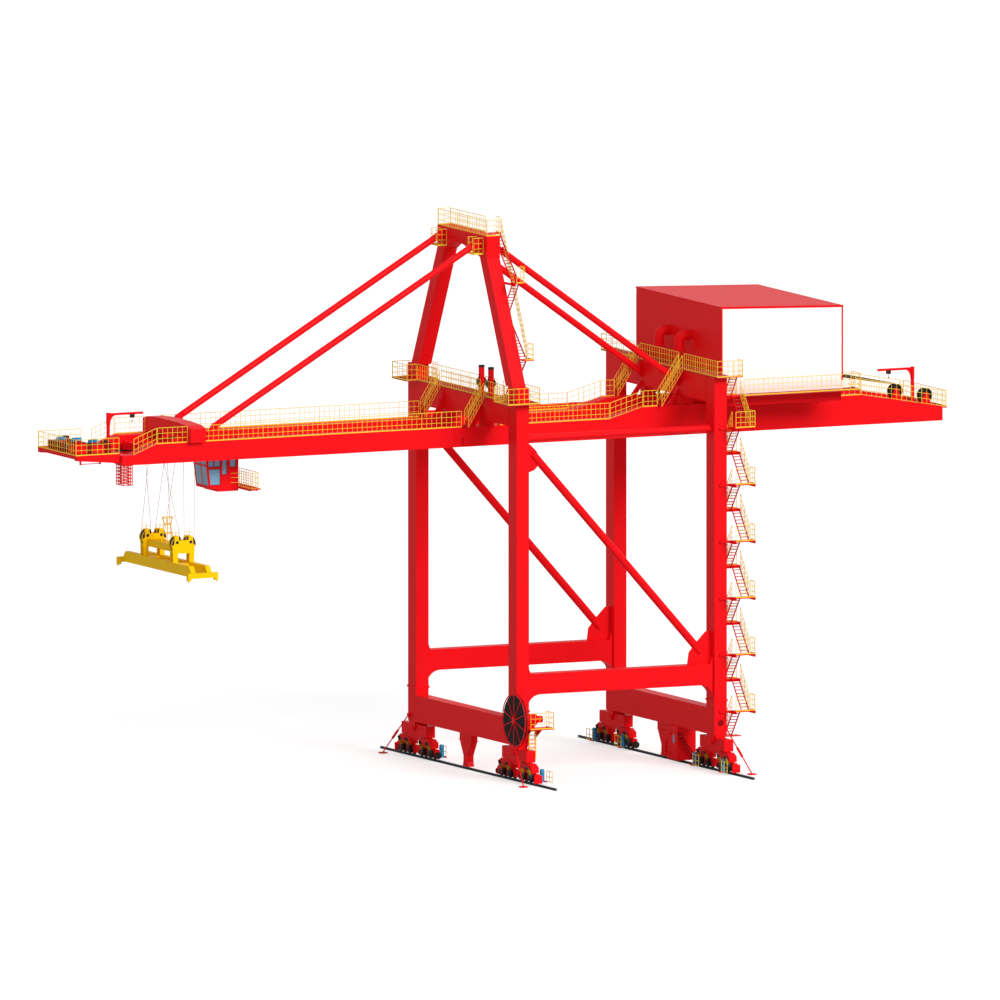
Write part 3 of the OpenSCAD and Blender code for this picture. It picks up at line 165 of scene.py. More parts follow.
red_topcoat = sprayed_paint("polyurethane_red_topcoat", "#F4141C", "#E4121A", dirt=0.1)
dark_red_topcoat = sprayed_paint("polyurethane_dark_red_topcoat", "#8E0F15", "#741015", gloss=0.42)
golden_enamel = sprayed_paint("golden_handrail_enamel", "#FFD944", "#F5C638", gloss=0.35, dirt=0.3)
spreader_enamel = sprayed_paint("spreader_yellow_enamel", "#FFCE08", "#EDB80A", gloss=0.33, dirt=0.4)
white_cladding = sprayed_paint("white_coil_coated_sheet", "#FCFCFC", "#F2F3F3", gloss=0.38, dirt=0.2,
                               peel=0.04)
olive_enamel = sprayed_paint("olive_motor_enamel", "#A08A1E", "#5E500F", gloss=0.4, dirt=0.8)
blue_enamel = sprayed_paint("blue_cylinder_enamel", "#3C9CC8", "#2E83AE", gloss=0.3)
print("paints made")

# %% [markdown]
# ## Anti-slip deck paint
# Walkways are painted too, but sand is thrown into the wet coat. The grit is about 1 mm and is drawn at
# 8 mm. It makes the surface matt and speckled, with paler paths where feet have rubbed it.

# %% Gritted deck paint
GRIT_MM = 8
PATH_MM = 350


def gritted_deck(name, colour, rubbed):
    """Paint with sand in it: matt, speckled and rubbed paler in places."""
    material, tree, coords = new_material(name)
    grit = add(tree, "ShaderNodeTexNoise", {"Vector": coords, "Scale": 1 / (GRIT_MM * MM), "Detail": 2.0})
    path = add(tree, "ShaderNodeTexNoise", {"Vector": coords, "Scale": 1 / (PATH_MM * MM), "Detail": 4.0})
    rub = add(tree, "ShaderNodeMapRange", {"Value": path.outputs[0], "From Min": 0.45, "From Max": 0.7})
    blend = add(tree, "ShaderNodeMix", {"Factor": rub.outputs[0], "A": srgb(colour), "B": srgb(rubbed)},
                data_type="RGBA")
    bump = add(tree, "ShaderNodeBump", {"Height": grit.outputs[0], "Strength": 0.5, "Distance": 2 * MM})
    shader = add(tree, "ShaderNodeBsdfPrincipled", {"Base Color": blend.outputs["Result"], "Roughness": 0.75,
                                                    "Normal": bump.outputs[0], "IOR": 1.5})
    close(tree, shader)
    return material


deck_red = gritted_deck("gritted_red_deck_paint", "#C0141B", "#CC4A48")
print("deck paints made")

# %% [markdown]
# ## Bare and dark metals
# Wheels and sheaves are cast iron in black primer, rough from the sand mould. Rails are rolled steel
# under a slate-coloured skin that the wheels keep bright on top. Bolts and pins are galvanised,
# which leaves grey zinc flakes about 10 mm across. A metal keeps the shader's default IOR.

# %% Cast iron, rolled rail and zinc
CAST_MM = 9
SCALE_MM = (60, 400, 60)
FLAKE_MM = 14


def rough_metal(name, dark, pale, metallic, rough, scale_mm, bump_mm):
    """Metal whose colour and height change over spots of a given size along X, Y and Z."""
    material, tree, coords = new_material(name)
    stretch = add(tree, "ShaderNodeMapping", {"Vector": coords, "Scale": [1 / (mm * MM) for mm in scale_mm]})
    spots = add(tree, "ShaderNodeTexNoise", {"Vector": stretch.outputs[0], "Scale": 1.0, "Detail": 5.0})
    blend = add(tree, "ShaderNodeMix", {"Factor": spots.outputs[0], "A": srgb(dark), "B": srgb(pale)},
                data_type="RGBA")
    bump = add(tree, "ShaderNodeBump",
               {"Height": spots.outputs[0], "Strength": 0.4, "Distance": bump_mm * MM})
    shine = add(tree, "ShaderNodeMapRange", {"Value": spots.outputs[0], "To Min": rough - 0.08,
                                             "To Max": rough + 0.12})
    shader = add(tree, "ShaderNodeBsdfPrincipled",
                 {"Base Color": blend.outputs["Result"], "Metallic": metallic,
                  "Roughness": shine.outputs[0], "Normal": bump.outputs[0]})
    close(tree, shader)
    return material


cast_iron = rough_metal("black_cast_iron", "#141416", "#2B2A2C", 0.3, 0.5, (CAST_MM,) * 3, 1.0)
rolled_rail = rough_metal("rolled_rail_steel", "#24323C", "#3E505C", 0.4, 0.45, SCALE_MM, 0.6)
zinc = rough_metal("galvanised_steel", "#7C8286", "#A9AFB2", 0.85, 0.42, (FLAKE_MM,) * 3, 0.3)
tail_rope = rough_metal("tarred_tail_rope", "#1D1A19", "#3A2E28", 0.1, 0.55, (40, 20, 20), 0.5)
print("metals made")

# %% [markdown]
# ## Wire rope, rubber and glass
# A wire rope shows its strands as slanting stripes, about 24 mm apart along this rope. Rubber is dull and
# nearly black. The cab's safety glass lets some light through. Its pale blue is partly a tint and partly a
# painted reflection of the sky, put into the colour of the glass.

# %% Rope, rubber and glass
STRAND_MM = 24


def wire_rope_steel():
    """Greased wire rope: dark stripes between brighter strands."""
    material, tree, coords = new_material("greased_wire_rope")
    twist = add(tree, "ShaderNodeMapping", {"Vector": coords, "Rotation": (0.0, math.radians(35), 0.0)})
    strands = add(tree, "ShaderNodeTexWave", {"Vector": twist.outputs[0], "Scale": 0.314 / (STRAND_MM * MM)},
                  wave_type="BANDS", bands_direction="Z")
    blend = add(tree, "ShaderNodeMix", {"Factor": strands.outputs["Fac"], "A": srgb("#A06A62"),
                                        "B": srgb("#DDB5AC")}, data_type="RGBA")
    bump = add(tree, "ShaderNodeBump",
               {"Height": strands.outputs["Fac"], "Strength": 0.6, "Distance": 2 * MM})
    shader = add(tree, "ShaderNodeBsdfPrincipled", {"Base Color": blend.outputs["Result"], "Metallic": 0.6,
                                                    "Roughness": 0.5, "Normal": bump.outputs[0]})
    close(tree, shader)
    return material


def glass_with_painted_sky():
    """Safety glass: smooth, half clear, and pale blue that is partly a tint and partly a painted sky
    reflection.
    """
    material, tree, coords = new_material("safety_glass_tint_and_painted_sky")
    film = add(tree, "ShaderNodeTexNoise", {"Vector": coords, "Scale": 1 / (300 * MM), "Detail": 2.0})
    haze = add(tree, "ShaderNodeMapRange", {"Value": film.outputs[0], "To Min": 0.03, "To Max": 0.10})
    # The pale blue base colour is partly the glass's tint and partly painted reflection of a blue sky.
    shader = add(tree, "ShaderNodeBsdfPrincipled",
                 {"Base Color": srgb("#86C0E2"), "Roughness": haze.outputs[0], "IOR": 1.5,
                  "Transmission Weight": 0.2})
    close(tree, shader)
    return material


wire_rope = wire_rope_steel()
cab_pane = glass_with_painted_sky()
cable_rubber = rough_metal("black_cable_rubber", "#060607", "#121112", 0.0, 0.75, (20, 20, 20), 0.5)
print("rope, rubber and glass made")

# %% [markdown]
# ## Give every CAD solid its finish
# A CAD node keeps its mesh and gets a better material in its slot. The table says which finish each
# group of nodes takes, in the words of a paint list.

# %% Paint list
paint_list = {
    red_topcoat: """bogie_frames equalizers sill_beams anchor_posts storm_ties legs portal_beams tie_tubes
        braces cross_beam_waterside cross_beam_landside boom_girders main_girders girder_ties pylon_legs
        apex_beam forestays backstays house_end_walls house_roof vent_cowls tip_platform tip_cage
        jib_posts tip_jib rear_jib stair_stringers trolley_frame cab_shell reel_frame reel_drive
        ground_cabin cabin_door boom_hinges house_floor stair_landings sheave_stands cab_deck""",
    dark_red_topcoat: "tip_machinery",
    deck_red: "galleries stair_treads",
    golden_enamel: "girder_handrails gallery_handrails stair_handrails",
    spreader_enamel: "headblock spreader",
    white_cladding: "house_side_walls",
    olive_enamel: "gantry_drives",
    blue_enamel: "rail_clamps",
    cast_iron: "gantry_wheels rear_sheaves trolley_sheaves headblock_sheaves",
    rolled_rail: "rails trolley_rails",
    wire_rope: "hoist_ropes",
    cable_rubber: "reel_cable",
    cab_pane: "cab_glass",
}
for finish, names in paint_list.items():
    for node_name in names.split():
        mesh = frame["nodes"][node_name].data
        mesh.materials.clear()
        mesh.materials.append(finish)
print("painted nodes", sum(len(names.split()) for names in paint_list.values()), "of", len(frame["nodes"]))

# %% [markdown]
# ## Helpers for new pieces
# Each new piece is drawn in a BMesh, the mesh editor that scripts can reach. A block starts as a unit cube,
# a tube as a cone with equal ends, and a turned part as an outline that is spun right round, as on a
# lathe. When a piece is done, its normals are turned outward, its flat and round faces are told apart by
# their angle, and it is tied to the body that carries it.

# %% Block, tube, lathe and piece
def block(bm, one, other):
    """A box between two corners."""
    one, other = Vector(one), Vector(other)
    size = [max(abs(a - b), 1e-4) for a, b in zip(one, other)]
    place = Matrix.Translation((one + other) / 2) @ Matrix.Diagonal((*size, 1.0))
    bmesh.ops.create_cube(bm, size=1.0, matrix=place)


def facing(centre, direction):
    """A place whose Z axis points in the direction."""
    return Matrix.Translation(centre) @ Vector(direction).to_track_quat("Z", "Y").to_matrix().to_4x4()


def tube(bm, start, end, radius, sides=8):
    """A round bar between two points."""
    start, end = Vector(start), Vector(end)
    bmesh.ops.create_cone(bm, cap_ends=True, segments=sides, radius1=radius, radius2=radius,
                          depth=(end - start).length, matrix=facing((start + end) / 2, end - start))


def join(bm, part):
    """Moves a finished part into a bigger BMesh."""
    spare = bpy.data.meshes.new("spare")
    part.to_mesh(spare)
    part.free()
    bm.from_mesh(spare)
    bpy.data.meshes.remove(spare)


def turned(bm, outline, place, steps=24):
    """Spins an outline of (radius, height) points about Z, then moves it to its place."""
    part = bmesh.new()
    verts = [part.verts.new((radius, 0.0, height)) for radius, height in outline]
    edges = [part.edges.new(pair) for pair in zip(verts, verts[1:])]
    bmesh.ops.spin(part, geom=verts + edges, cent=(0, 0, 0), axis=(0, 0, 1), angle=2 * math.pi,
                   steps=steps, use_merge=True)
    bmesh.ops.remove_doubles(part, verts=part.verts[:], dist=1e-5)
    bmesh.ops.transform(part, matrix=place, verts=part.verts[:])
    join(bm, part)


def piece(name, bm, material, body="crane", replaced=()):
    """Turns a BMesh into a finished object that rides on a body."""
    bmesh.ops.recalc_face_normals(bm, faces=bm.faces[:])
    mesh = bpy.data.meshes.new(name)
    bm.to_mesh(mesh)
    bm.free()
    mesh.materials.append(material)
    mesh.shade_smooth()
    mesh.set_sharp_from_angle(angle=math.radians(35))
    made = bpy.data.objects.new(name, mesh)
    bpy.context.scene.collection.objects.link(made)
    if body:
        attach(made, body)
    if replaced:
        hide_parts(*replaced)
    print(name, len(mesh.polygons), "faces")
    return made


def solids(name):
    """Low corner, high corner and points of every separate solid of a CAD node."""
    bm = bmesh.new()
    bm.from_mesh(frame["nodes"][name].data)
    bmesh.ops.remove_doubles(bm, verts=bm.verts[:], dist=1e-4)
    found, seen = [], set()
    for seed in bm.verts:
        if seed in seen:
            continue
        seen.add(seed)
        waiting, points = [seed], []
        while waiting:
            vert = waiting.pop()
            points.append(vert.co.copy())
            near = [edge.other_vert(vert) for edge in vert.link_edges]
            waiting += [other for other in near if other not in seen]
            seen.update(near)
        low = Vector([min(p[axis] for p in points) for axis in range(3)])
        high = Vector([max(p[axis] for p in points) for axis in range(3)])
        found.append((low, high, points))
    bm.free()
    return found


print("wheels in CAD", len(solids("gantry_wheels")))

# %% [markdown]
# ## Handrails of round tube
# CAD draws each handrail as a flat panel. Real ones are welded from tube: posts and a top rail as thick as
# a wrist allows, two thinner rails below, and upright bars between the posts. A toe board along the foot
# keeps tools from falling off. Every panel is read from its CAD solid, so the new rail stands where the
# old one stood. Six or eight sides are enough for a tube that is less than a pixel wide.

# %% Read the panels and weld the rails
POST_R = 11 * MM
MID_R = 8 * MM
BAR_R = 7 * MM
POST_GAP = 0.8
BAR_GAP = 0.2
TOE_BOARD = Vector((0.0, 0.0, 38 * MM))
TOE_HALF = 4 * MM
PANEL_THICK = 30 * MM


def rail(bm, start, end, height):
    """One handrail panel: posts, three rails, upright bars, and a toe board where it's level or a fourth low
    rail where it isn't.
    """
    run = end - start
    up = Vector((0.0, 0.0, height - POST_R))
    posts = max(1, round(run.length / POST_GAP))
    bars = posts * max(1, round(run.length / posts / BAR_GAP))
    for i in range(bars + 1):
        foot = start + run * (i / bars)
        at_post = i * posts % bars == 0
        tube(bm, foot, foot + up, POST_R if at_post else BAR_R, 8 if at_post else 5)
    for share, radius in ((1.0, POST_R), (0.66, MID_R), (0.33, MID_R)):
        tube(bm, start + up * share, end + up * share, radius)
    if abs(run.z) < 0.01 and min(abs(run.x), abs(run.y)) < 0.01:
        side = Vector((-run.y, run.x, 0.0)).normalized() * TOE_HALF
        block(bm, start - side, end + side + TOE_BOARD)
    else:
        tube(bm, start + up * 0.04, end + up * 0.04, MID_R)


def panels(name):
    """Start, end and height of the flat panels of a node, and the boxes of what isn't flat."""
    flat, baskets = [], []
    for low, high, points in solids(name):
        thin = [axis for axis in (0, 1) if high[axis] - low[axis] < PANEL_THICK]
        if not thin:
            baskets.append((low, high))
            continue
        along = 1 - thin[0]
        ends = []
        for edge, inward in ((low[along], POST_R), (high[along], -POST_R)):
            levels = [p.z for p in points if abs(p[along] - edge) < MM]
            foot = (low + high) / 2
            foot[along] = edge + inward
            foot.z = min(levels)
            ends.append(foot)
        flat.append((ends[0], ends[1], max(levels) - min(levels)))
    return flat, baskets


def basket(bm, low, high):
    """A small cage around a stay: a floor, two sides and two short front panels."""
    floor_top = low.z + 20 * MM
    front = low.x + POST_R
    block(bm, low, (high.x, high.y, floor_top))
    for y, turn in ((low.y + POST_R, 1), (high.y - POST_R, -1)):
        corner = Vector((front, y, floor_top))
        rail(bm, corner, Vector((high.x - POST_R, y, floor_top)), high.z - floor_top)
        rail(bm, corner, corner + Vector((0.0, turn * 0.11, 0.0)), high.z - floor_top)


for node_name in ("girder_handrails", "gallery_handrails", "stair_handrails"):
    bm = bmesh.new()
    flat, baskets = panels(node_name)
    for start, end, height in flat:
        rail(bm, start, end, height)
    for low, high in baskets:
        basket(bm, low, high)
    print(node_name, len(flat), "panels", len(baskets), "baskets")
    piece("tube_" + node_name, bm, golden_enamel, replaced=(node_name,))

# %% [markdown]
# ## Wheels, axle caps and buffers
# A crane wheel is cast, then its tread is turned on a lathe, which leaves a dished web between hub and
# rim. The outline below is half of its section. A black bolted cover closes the bearing at each end of the
# axle, and a rubber pad takes the knock of the buffer.

# %% Turn the wheels
wheel_outline = [(0.0, -58), (50, -58), (56, -36), (112, -20), (124, -32), (150, -32), (150, 32), (124, 32),
                 (112, 20), (56, 36), (50, 58), (0.0, 58)]
wheel_scale = WHEEL_R / 150
cap_outline = [(0.0, 24), (38, 24), (52, 12), (98, 12), (104, 6), (104, -2)]
TRUCK_HALF = 92 * MM
wheel_bm, cap_bm, bolt_bm = bmesh.new(), bmesh.new(), bmesh.new()
for low, high, points in solids("gantry_wheels"):
    hub = (low + high) / 2
    turned(wheel_bm, [(r * wheel_scale, h * MM) for r, h in wheel_outline], facing(hub, (1, 0, 0)))
    for side in (-1, 1):
        face = hub + Vector((side * TRUCK_HALF, 0.0, 0.0))
        turned(cap_bm, [(r * MM, h * MM) for r, h in cap_outline], facing(face, (side, 0, 0)), 16)
        for i in range(6):
            spot = face + Vector((0.0, math.cos(i * math.pi / 3), math.sin(i * math.pi / 3))) * 78 * MM
            tube(bolt_bm, spot, spot + Vector((side * 20 * MM, 0.0, 0.0)), 8 * MM, 6)
piece("turned_wheels", wheel_bm, cast_iron, replaced=("gantry_wheels",))
piece("axle_caps", cap_bm, cast_iron)
piece("axle_cap_bolts", bolt_bm, zinc)

buffer_bm = bmesh.new()
pad_outline = [(0, 40), (40, 40), (48, 48), (100, 48), (124, 30), (124, -70)]
wheel_rows = sorted({round((low.y + high.y) / 2, 3) for low, high, points in solids("gantry_wheels")})
INNER_PAD = 178 * MM + 120 * MM
for x in RAIL_X:
    for side in (-1, 1):
        inner = min(abs(y) for y in wheel_rows if y * side > 0)
        spot = Vector((x, side * (inner - INNER_PAD + 40 * MM), AXLE_Z))
        turned(buffer_bm, [(r * MM, h * MM) for r, h in pad_outline], facing(spot, (0, -side, 0)))
piece("buffer_pads", buffer_bm, cable_rubber)

# %% [markdown]
# ## Gantry drives
# Each driven wheel has a gear case with a motor that leans away from the bogie. The case is a casting with
# rounded edges, and the motor has rings of cooling fins, a terminal box and a black fan cowl at the top.
# All sixteen are the same, so one function builds a drive and the loop only moves it.

# %% Build the drives
LEAN = math.radians(27)
MOTOR_SLIM = 0.78
CASE_DEEP = 0.170
CASE_HALF = 0.072
CASE_DOWN = 0.065
CASE_UP = 0.185
CASE_ROUND = 0.02
MOTOR_OUT = 0.115
MOTOR_UP = 0.165
cowl_outline = [(0.0, 236), (58, 236), (62, 246), (62, 338), (48, 357), (0.0, 357)]
motor_outline = [(0.0, 0.0), (66, 0.0), (66, 20), (52, 24)]
for fin in range(9):
    motor_outline += [(52, 32 + fin * 22), (64, 34 + fin * 22), (64, 44 + fin * 22), (52, 46 + fin * 22)]
motor_outline += [(54, 240), (65, 250), (65, 340), (50, 358), (0.0, 358)]


def drive(bm, cowls, face_x, y):
    """Black gear case with bevelled edges against the truck, and the leaning motor on it."""
    case = bmesh.new()
    block(case, (face_x - CASE_DEEP, y - CASE_HALF, AXLE_Z - CASE_DOWN),
          (face_x, y + CASE_HALF, AXLE_Z + CASE_UP))
    bmesh.ops.bevel(case, geom=case.edges[:], offset=CASE_ROUND, affect="EDGES", segments=2, profile=0.5,
                    material=-1)
    join(cowls, case)
    foot = Vector((face_x - MOTOR_OUT, y, AXLE_Z + MOTOR_UP))
    axis = Vector((-math.sin(LEAN), 0.0, math.cos(LEAN)))
    turned(bm, [(r * MM * MOTOR_SLIM, h * MM) for r, h in motor_outline[:-5]] + [(0.0, 0.24)],
           facing(foot, axis), 20)
    turned(cowls, [(r * MM * MOTOR_SLIM, h * MM) for r, h in cowl_outline], facing(foot, axis), 20)
    side = foot + axis * 0.13 + Vector((0.0, -0.054, 0.0))
    block(bm, side - Vector((0.035, 0.02, 0.04)), side + Vector((0.035, 0.02, 0.04)))


drive_bm, cowl_bm = bmesh.new(), bmesh.new()
for low, high, points in solids("gantry_drives"):
    drive(drive_bm, cowl_bm, high.x, (low.y + high.y) / 2)
piece("finned_drives", drive_bm, olive_enamel, replaced=("gantry_drives",))
piece("drive_cases_and_cowls", cowl_bm, cast_iron)

# %% [markdown]
# ## Rail clamps
# A clamp is an upright hydraulic cylinder with a bolted flange at its foot and a domed head. It is a
# turned part, apart from the arm that ties it to the truck.

# %% Turn the clamps
clamp_outline = [(0.0, 0.0), (115, 0.0), (115, 42), (92, 50), (88, 60), (88, 330), (92, 338), (92, 372),
                 (88, 380), (88, 440), (70, 470), (30, 478), (0.0, 480)]
clamp_bm, clamp_bolts = bmesh.new(), bmesh.new()
for low, high, points in solids("rail_clamps"):
    foot = Vector((0.0, (low.y + high.y) / 2, low.z))
    toward_x = min(RAIL_X, key=lambda x: min(abs(low.x - x), abs(high.x - x)))
    outward = 1 if (low.x + high.x) / 2 > toward_x else -1
    foot.x = (high.x if outward > 0 else low.x) - outward * 0.115
    turned(clamp_bm, [(r * MM, h * MM) for r, h in clamp_outline], facing(foot, (0, 0, 1)))
    block(clamp_bm, (toward_x + outward * TRUCK_HALF, foot.y - 0.05, AXLE_Z + 0.065),
          (foot.x, foot.y + 0.05, AXLE_Z + 0.145))
    for i in range(8):
        spot = foot + Vector((math.cos(i * math.pi / 4), math.sin(i * math.pi / 4), 0.0)) * 0.104
        tube(clamp_bolts, spot + Vector((0, 0, 0.03)), spot + Vector((0, 0, 0.058)), 8 * MM, 6)
piece("turned_clamps", clamp_bm, blue_enamel, replaced=("rail_clamps",))
piece("clamp_bolts", clamp_bolts, zinc)

# %% [markdown]
# ## Bolts on the leg flanges
# The legs are bolted to the sill beams through a flange that stands out all round. The bolts are M36 on the
# real crane, so their heads are about 28 mm wide at half scale. Six sides are all that a bolt head needs.

# %% Bolt the flanges
BOLT_GAP = 0.11
legs_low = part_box("legs")[0]
bolt_bm = bmesh.new()
for low, high, points in solids("legs"):
    ring_z = max(p.z for p in points if p.z < sill_high.z + 0.4)
    ring = [p for p in points if abs(p.z - ring_z) < MM]
    x0, x1 = min(p.x for p in ring) + 0.015, max(p.x for p in ring) - 0.015
    y0, y1 = min(p.y for p in ring) + 0.015, max(p.y for p in ring) - 0.015
    across, length = round((x1 - x0) / BOLT_GAP), round((y1 - y0) / BOLT_GAP)
    spots = [(x0 + (x1 - x0) * i / across, y) for i in range(across + 1) for y in (y0, y1)]
    spots += [(x, y0 + (y1 - y0) * i / length) for i in range(1, length) for x in (x0, x1)]
    for x, y in spots:
        tube(bolt_bm, (x, y, ring_z - 2 * MM), (x, y, ring_z + 18 * MM), 14 * MM, 6)
piece("flange_bolts", bolt_bm, red_topcoat)

# %% [markdown]
# ## Cable on the reel
# The supply cable lies on the reel in one spiral, layer over layer. From the side its layers show as fine
# ridges. They are drawn as rings, since a spiral of that many turns looks the same and costs more.

# %% Wind the cable
LAYER_MM = 26
cable_low, cable_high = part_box("reel_cable")
cable_out = (cable_high.z - cable_low.z) / 2
cable_half = (cable_high.x - cable_low.x) / 2
layers = int((cable_out - 0.14) / (LAYER_MM * MM))
wound = []
for layer in range(layers):
    inner = cable_out - (layers - layer) * LAYER_MM * MM
    for share, depth in ((0.0, 0.80), (0.25, 0.97), (0.5, 1.0), (0.75, 0.97)):
        wound.append((inner + share * LAYER_MM * MM, depth * cable_half))
cable_outline = [(0.132, -0.8 * cable_half)] + [(r, -h) for r, h in wound] + [(cable_out, 0.0)]
cable_outline += [(r, h) for r, h in reversed(wound)]
cable_outline += [(0.132, 0.8 * cable_half), (0.132, -0.8 * cable_half)]
cable_bm = bmesh.new()
turned(cable_bm, cable_outline, facing(reel_centre, (1, 0, 0)), 64)
piece("wound_cable", cable_bm, cable_rubber, "reel", ("reel_cable",))
hub_bm = bmesh.new()
for i in range(8):
    turn = i * math.pi / 4
    spot = reel_centre + Vector((-80 * MM, 0.1 * math.cos(turn), 0.1 * math.sin(turn)))
    tube(hub_bm, spot + Vector((4 * MM, 0, 0)), spot - Vector((16 * MM, 0, 0)), 10 * MM, 6)
piece("reel_hub_bolts", hub_bm, zinc, "reel")

# %% [markdown]
# ## Sheaves with rope grooves
# A rope runs in a groove turned into the rim of a sheave. The web is thinner than the rim to save weight.
# One outline, scaled to each CAD disc, serves the trolley, the headblock and the stands.

# %% Turn the sheaves
sheave_outline = [(0.0, -1.0), (0.22, -1.0), (0.26, -0.45), (0.74, -0.45), (0.80, -1.0), (1.0, -1.0),
                  (1.0, -0.7), (0.88, 0.0), (1.0, 0.7), (1.0, 1.0), (0.80, 1.0), (0.74, 0.45),
                  (0.26, 0.45), (0.22, 1.0), (0.0, 1.0)]
for node_name, body in (("trolley_sheaves", "trolley"), ("headblock_sheaves", "hoist"),
                        ("rear_sheaves", "crane")):
    sheave_bm = bmesh.new()
    for low, high, points in solids(node_name):
        radius, half = (high.z - low.z) / 2, (high.y - low.y) / 2
        turned(sheave_bm, [(r * radius, h * half) for r, h in sheave_outline],
               facing((low + high) / 2, (0, 1, 0)), 32)
    piece("grooved_" + node_name, sheave_bm, cast_iron, body, (node_name,))

# %% [markdown]
# ## Tail ropes and stand caps
# Four tarred ropes leave the house through its rear opening and run side by side to the first sheave on the
# tail, where they land on top of the rim. The tall stands on the waterside gallery end in a dark cap.

# %% Run the tail ropes
TAIL_ROPE_R = 17 * MM
ROPE_APART = 50 * MM
ROPE_DRIFT = 0.3
ROPE_LIFT = 0.5
TALL_STAND = 0.9
CAP_UP = Vector((0.0, 0.0, 35 * MM))
CAP_LIP = Vector((5 * MM, 5 * MM, 0.0))
CAP_DOWN = 50 * MM
house_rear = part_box("house_end_walls")[1]
tail_discs = [found for found in solids("rear_sheaves") if found[0].x > house_rear.x]
disc_low, disc_high, points = min(tail_discs, key=lambda found: found[0].x)
tail_bm = bmesh.new()
for i in range(4):
    shift = (i - 1.5) * ROPE_APART
    landing = Vector(((disc_low.x + disc_high.x) / 2, (disc_low.y + disc_high.y) / 2 + shift, disc_high.z))
    leaving = Vector((house_rear.x - 0.05, landing.y + ROPE_DRIFT, disc_high.z + ROPE_LIFT + i * ROPE_APART))
    tube(tail_bm, leaving, landing, TAIL_ROPE_R)
piece("tail_ropes", tail_bm, tail_rope)
cap_bm = bmesh.new()
for low, high, points in solids("sheave_stands"):
    if high.z - low.z > TALL_STAND:
        block(cap_bm, (low.x, low.y, high.z), high + CAP_UP)
        block(cap_bm, Vector((low.x, low.y, high.z - CAP_DOWN)) - CAP_LIP, high + CAP_LIP)
piece("stand_caps", cap_bm, cast_iron)

# %% [markdown]
# ## Hoist ropes
# The eight rope falls hang straight between the trolley and the headblock.

# %% Hang the ropes
ROPE_R = 8 * MM
rope_bm = bmesh.new()
for low, high, points in solids("hoist_ropes"):
    middle = (low.z + high.z) / 2
    upper = [p for p in points if p.z > middle]
    lower = [p for p in points if p.z <= middle]
    top = sum(upper, Vector()) / len(upper)
    bottom = sum(lower, Vector()) / len(lower)
    tube(rope_bm, top, bottom, ROPE_R, 6)
ropes = piece("rope_falls", rope_bm, wire_rope, None, ("hoist_ropes",))
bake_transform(ropes)

# %% [markdown]
# ## Access deck, rails and grab bars of the cab
# The driver steps from the girder walkway onto a deck behind the cab that reaches out under the near girder.
# The deck is a plate with one slanting edge: its outline becomes one face, and the face is drawn out to
# the plate's thickness. Round rails guard its edges, and grab bars are welded to the side of the cab.

# %% Deck plate and its rails
def plate(bm, points, depth):
    """A flat outline that is given a thickness."""
    face = bm.faces.new([bm.verts.new(point) for point in points])
    grown = bmesh.ops.extrude_face_region(bm, geom=[face])["geom"]
    bmesh.ops.translate(bm, vec=depth, verts=[v for v in grown if isinstance(v, bmesh.types.BMVert)])
    bmesh.ops.holes_fill(bm, edges=[edge for edge in bm.edges if edge.is_boundary])


cab_low, cab_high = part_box("cab_shell")
deck_low, deck_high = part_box("cab_deck")
back_x, out_y, far_y = cab_high.x, deck_low.y, deck_high.y
deck_top = deck_low.z + 40 * MM
deck_bm = bmesh.new()
deck_edge = [(back_x, far_y), (back_x, out_y), (back_x + 0.5, out_y + 0.33), (back_x + 0.42, far_y)]
plate(deck_bm, [(x, y, deck_low.z) for x, y in deck_edge], (0.0, 0.0, 40 * MM))
for x in (0.05, 0.32):
    block(deck_bm, (back_x + x, out_y + 0.3, deck_low.z - 45 * MM), (back_x + x + 0.04, far_y, deck_low.z))
piece("cab_deck_plate", deck_bm, red_topcoat, "trolley", ("cab_deck",))

CAB_RAIL_H = 0.6
deck_lines = [((0.02, out_y + 0.06), (0.02, cab_low.y - 0.02)), ((0.395, out_y + 0.4), (0.395, far_y - 0.02)),
              ((0.02, far_y - 0.02), (0.395, far_y - 0.02)), ((0.02, out_y + 0.06), (0.42, out_y + 0.32))]
rail_bm = bmesh.new()
for (x0, y0), (x1, y1) in deck_lines:
    rail(rail_bm, Vector((back_x + x0, y0, deck_top)), Vector((back_x + x1, y1, deck_top)), CAB_RAIL_H)
GRAB_LEVELS = (11.10, 11.285, 11.446)
GRAB_X = (-9.89, -9.60)
for level in GRAB_LEVELS:
    front, rear = Vector((GRAB_X[0], cab_low.y - 0.05, level)), Vector((GRAB_X[1], cab_low.y - 0.05, level))
    tube(rail_bm, front, rear, MID_R)
    for end in (front, rear):
        tube(rail_bm, end, end + Vector((0.0, 0.052, 0.0)), MID_R, 6)
piece("cab_rails", rail_bm, golden_enamel, "trolley")

# %% [markdown]
# ## Window gaskets of the cab
# Each upright pane sits in a black rubber gasket. A pane is a thin solid in CAD, so its thinnest direction
# says which way it faces. Panes that are thin across Y get three strips, along the top, the bottom and the
# end at higher X, a few millimetres proud of the glass.

# %% Gaskets
GASKET = 16 * MM
PROUD = 9 * MM
gasket_bm = bmesh.new()
for low, high, points in solids("cab_glass"):
    if high.y - low.y > 20 * MM:
        continue
    outer = low.y - PROUD if low.y < 0 else high.y + PROUD
    inner = high.y if low.y < 0 else low.y
    for z in (low.z, high.z - GASKET):
        lean = [p.x for p in points if abs(p.z - (low.z if z == low.z else high.z)) < MM]
        block(gasket_bm, (min(lean), outer, z), (max(lean), inner, z + GASKET))
    block(gasket_bm, (high.x - GASKET, outer, low.z), (high.x, inner, high.z))
piece("window_gaskets", gasket_bm, cable_rubber, "trolley")
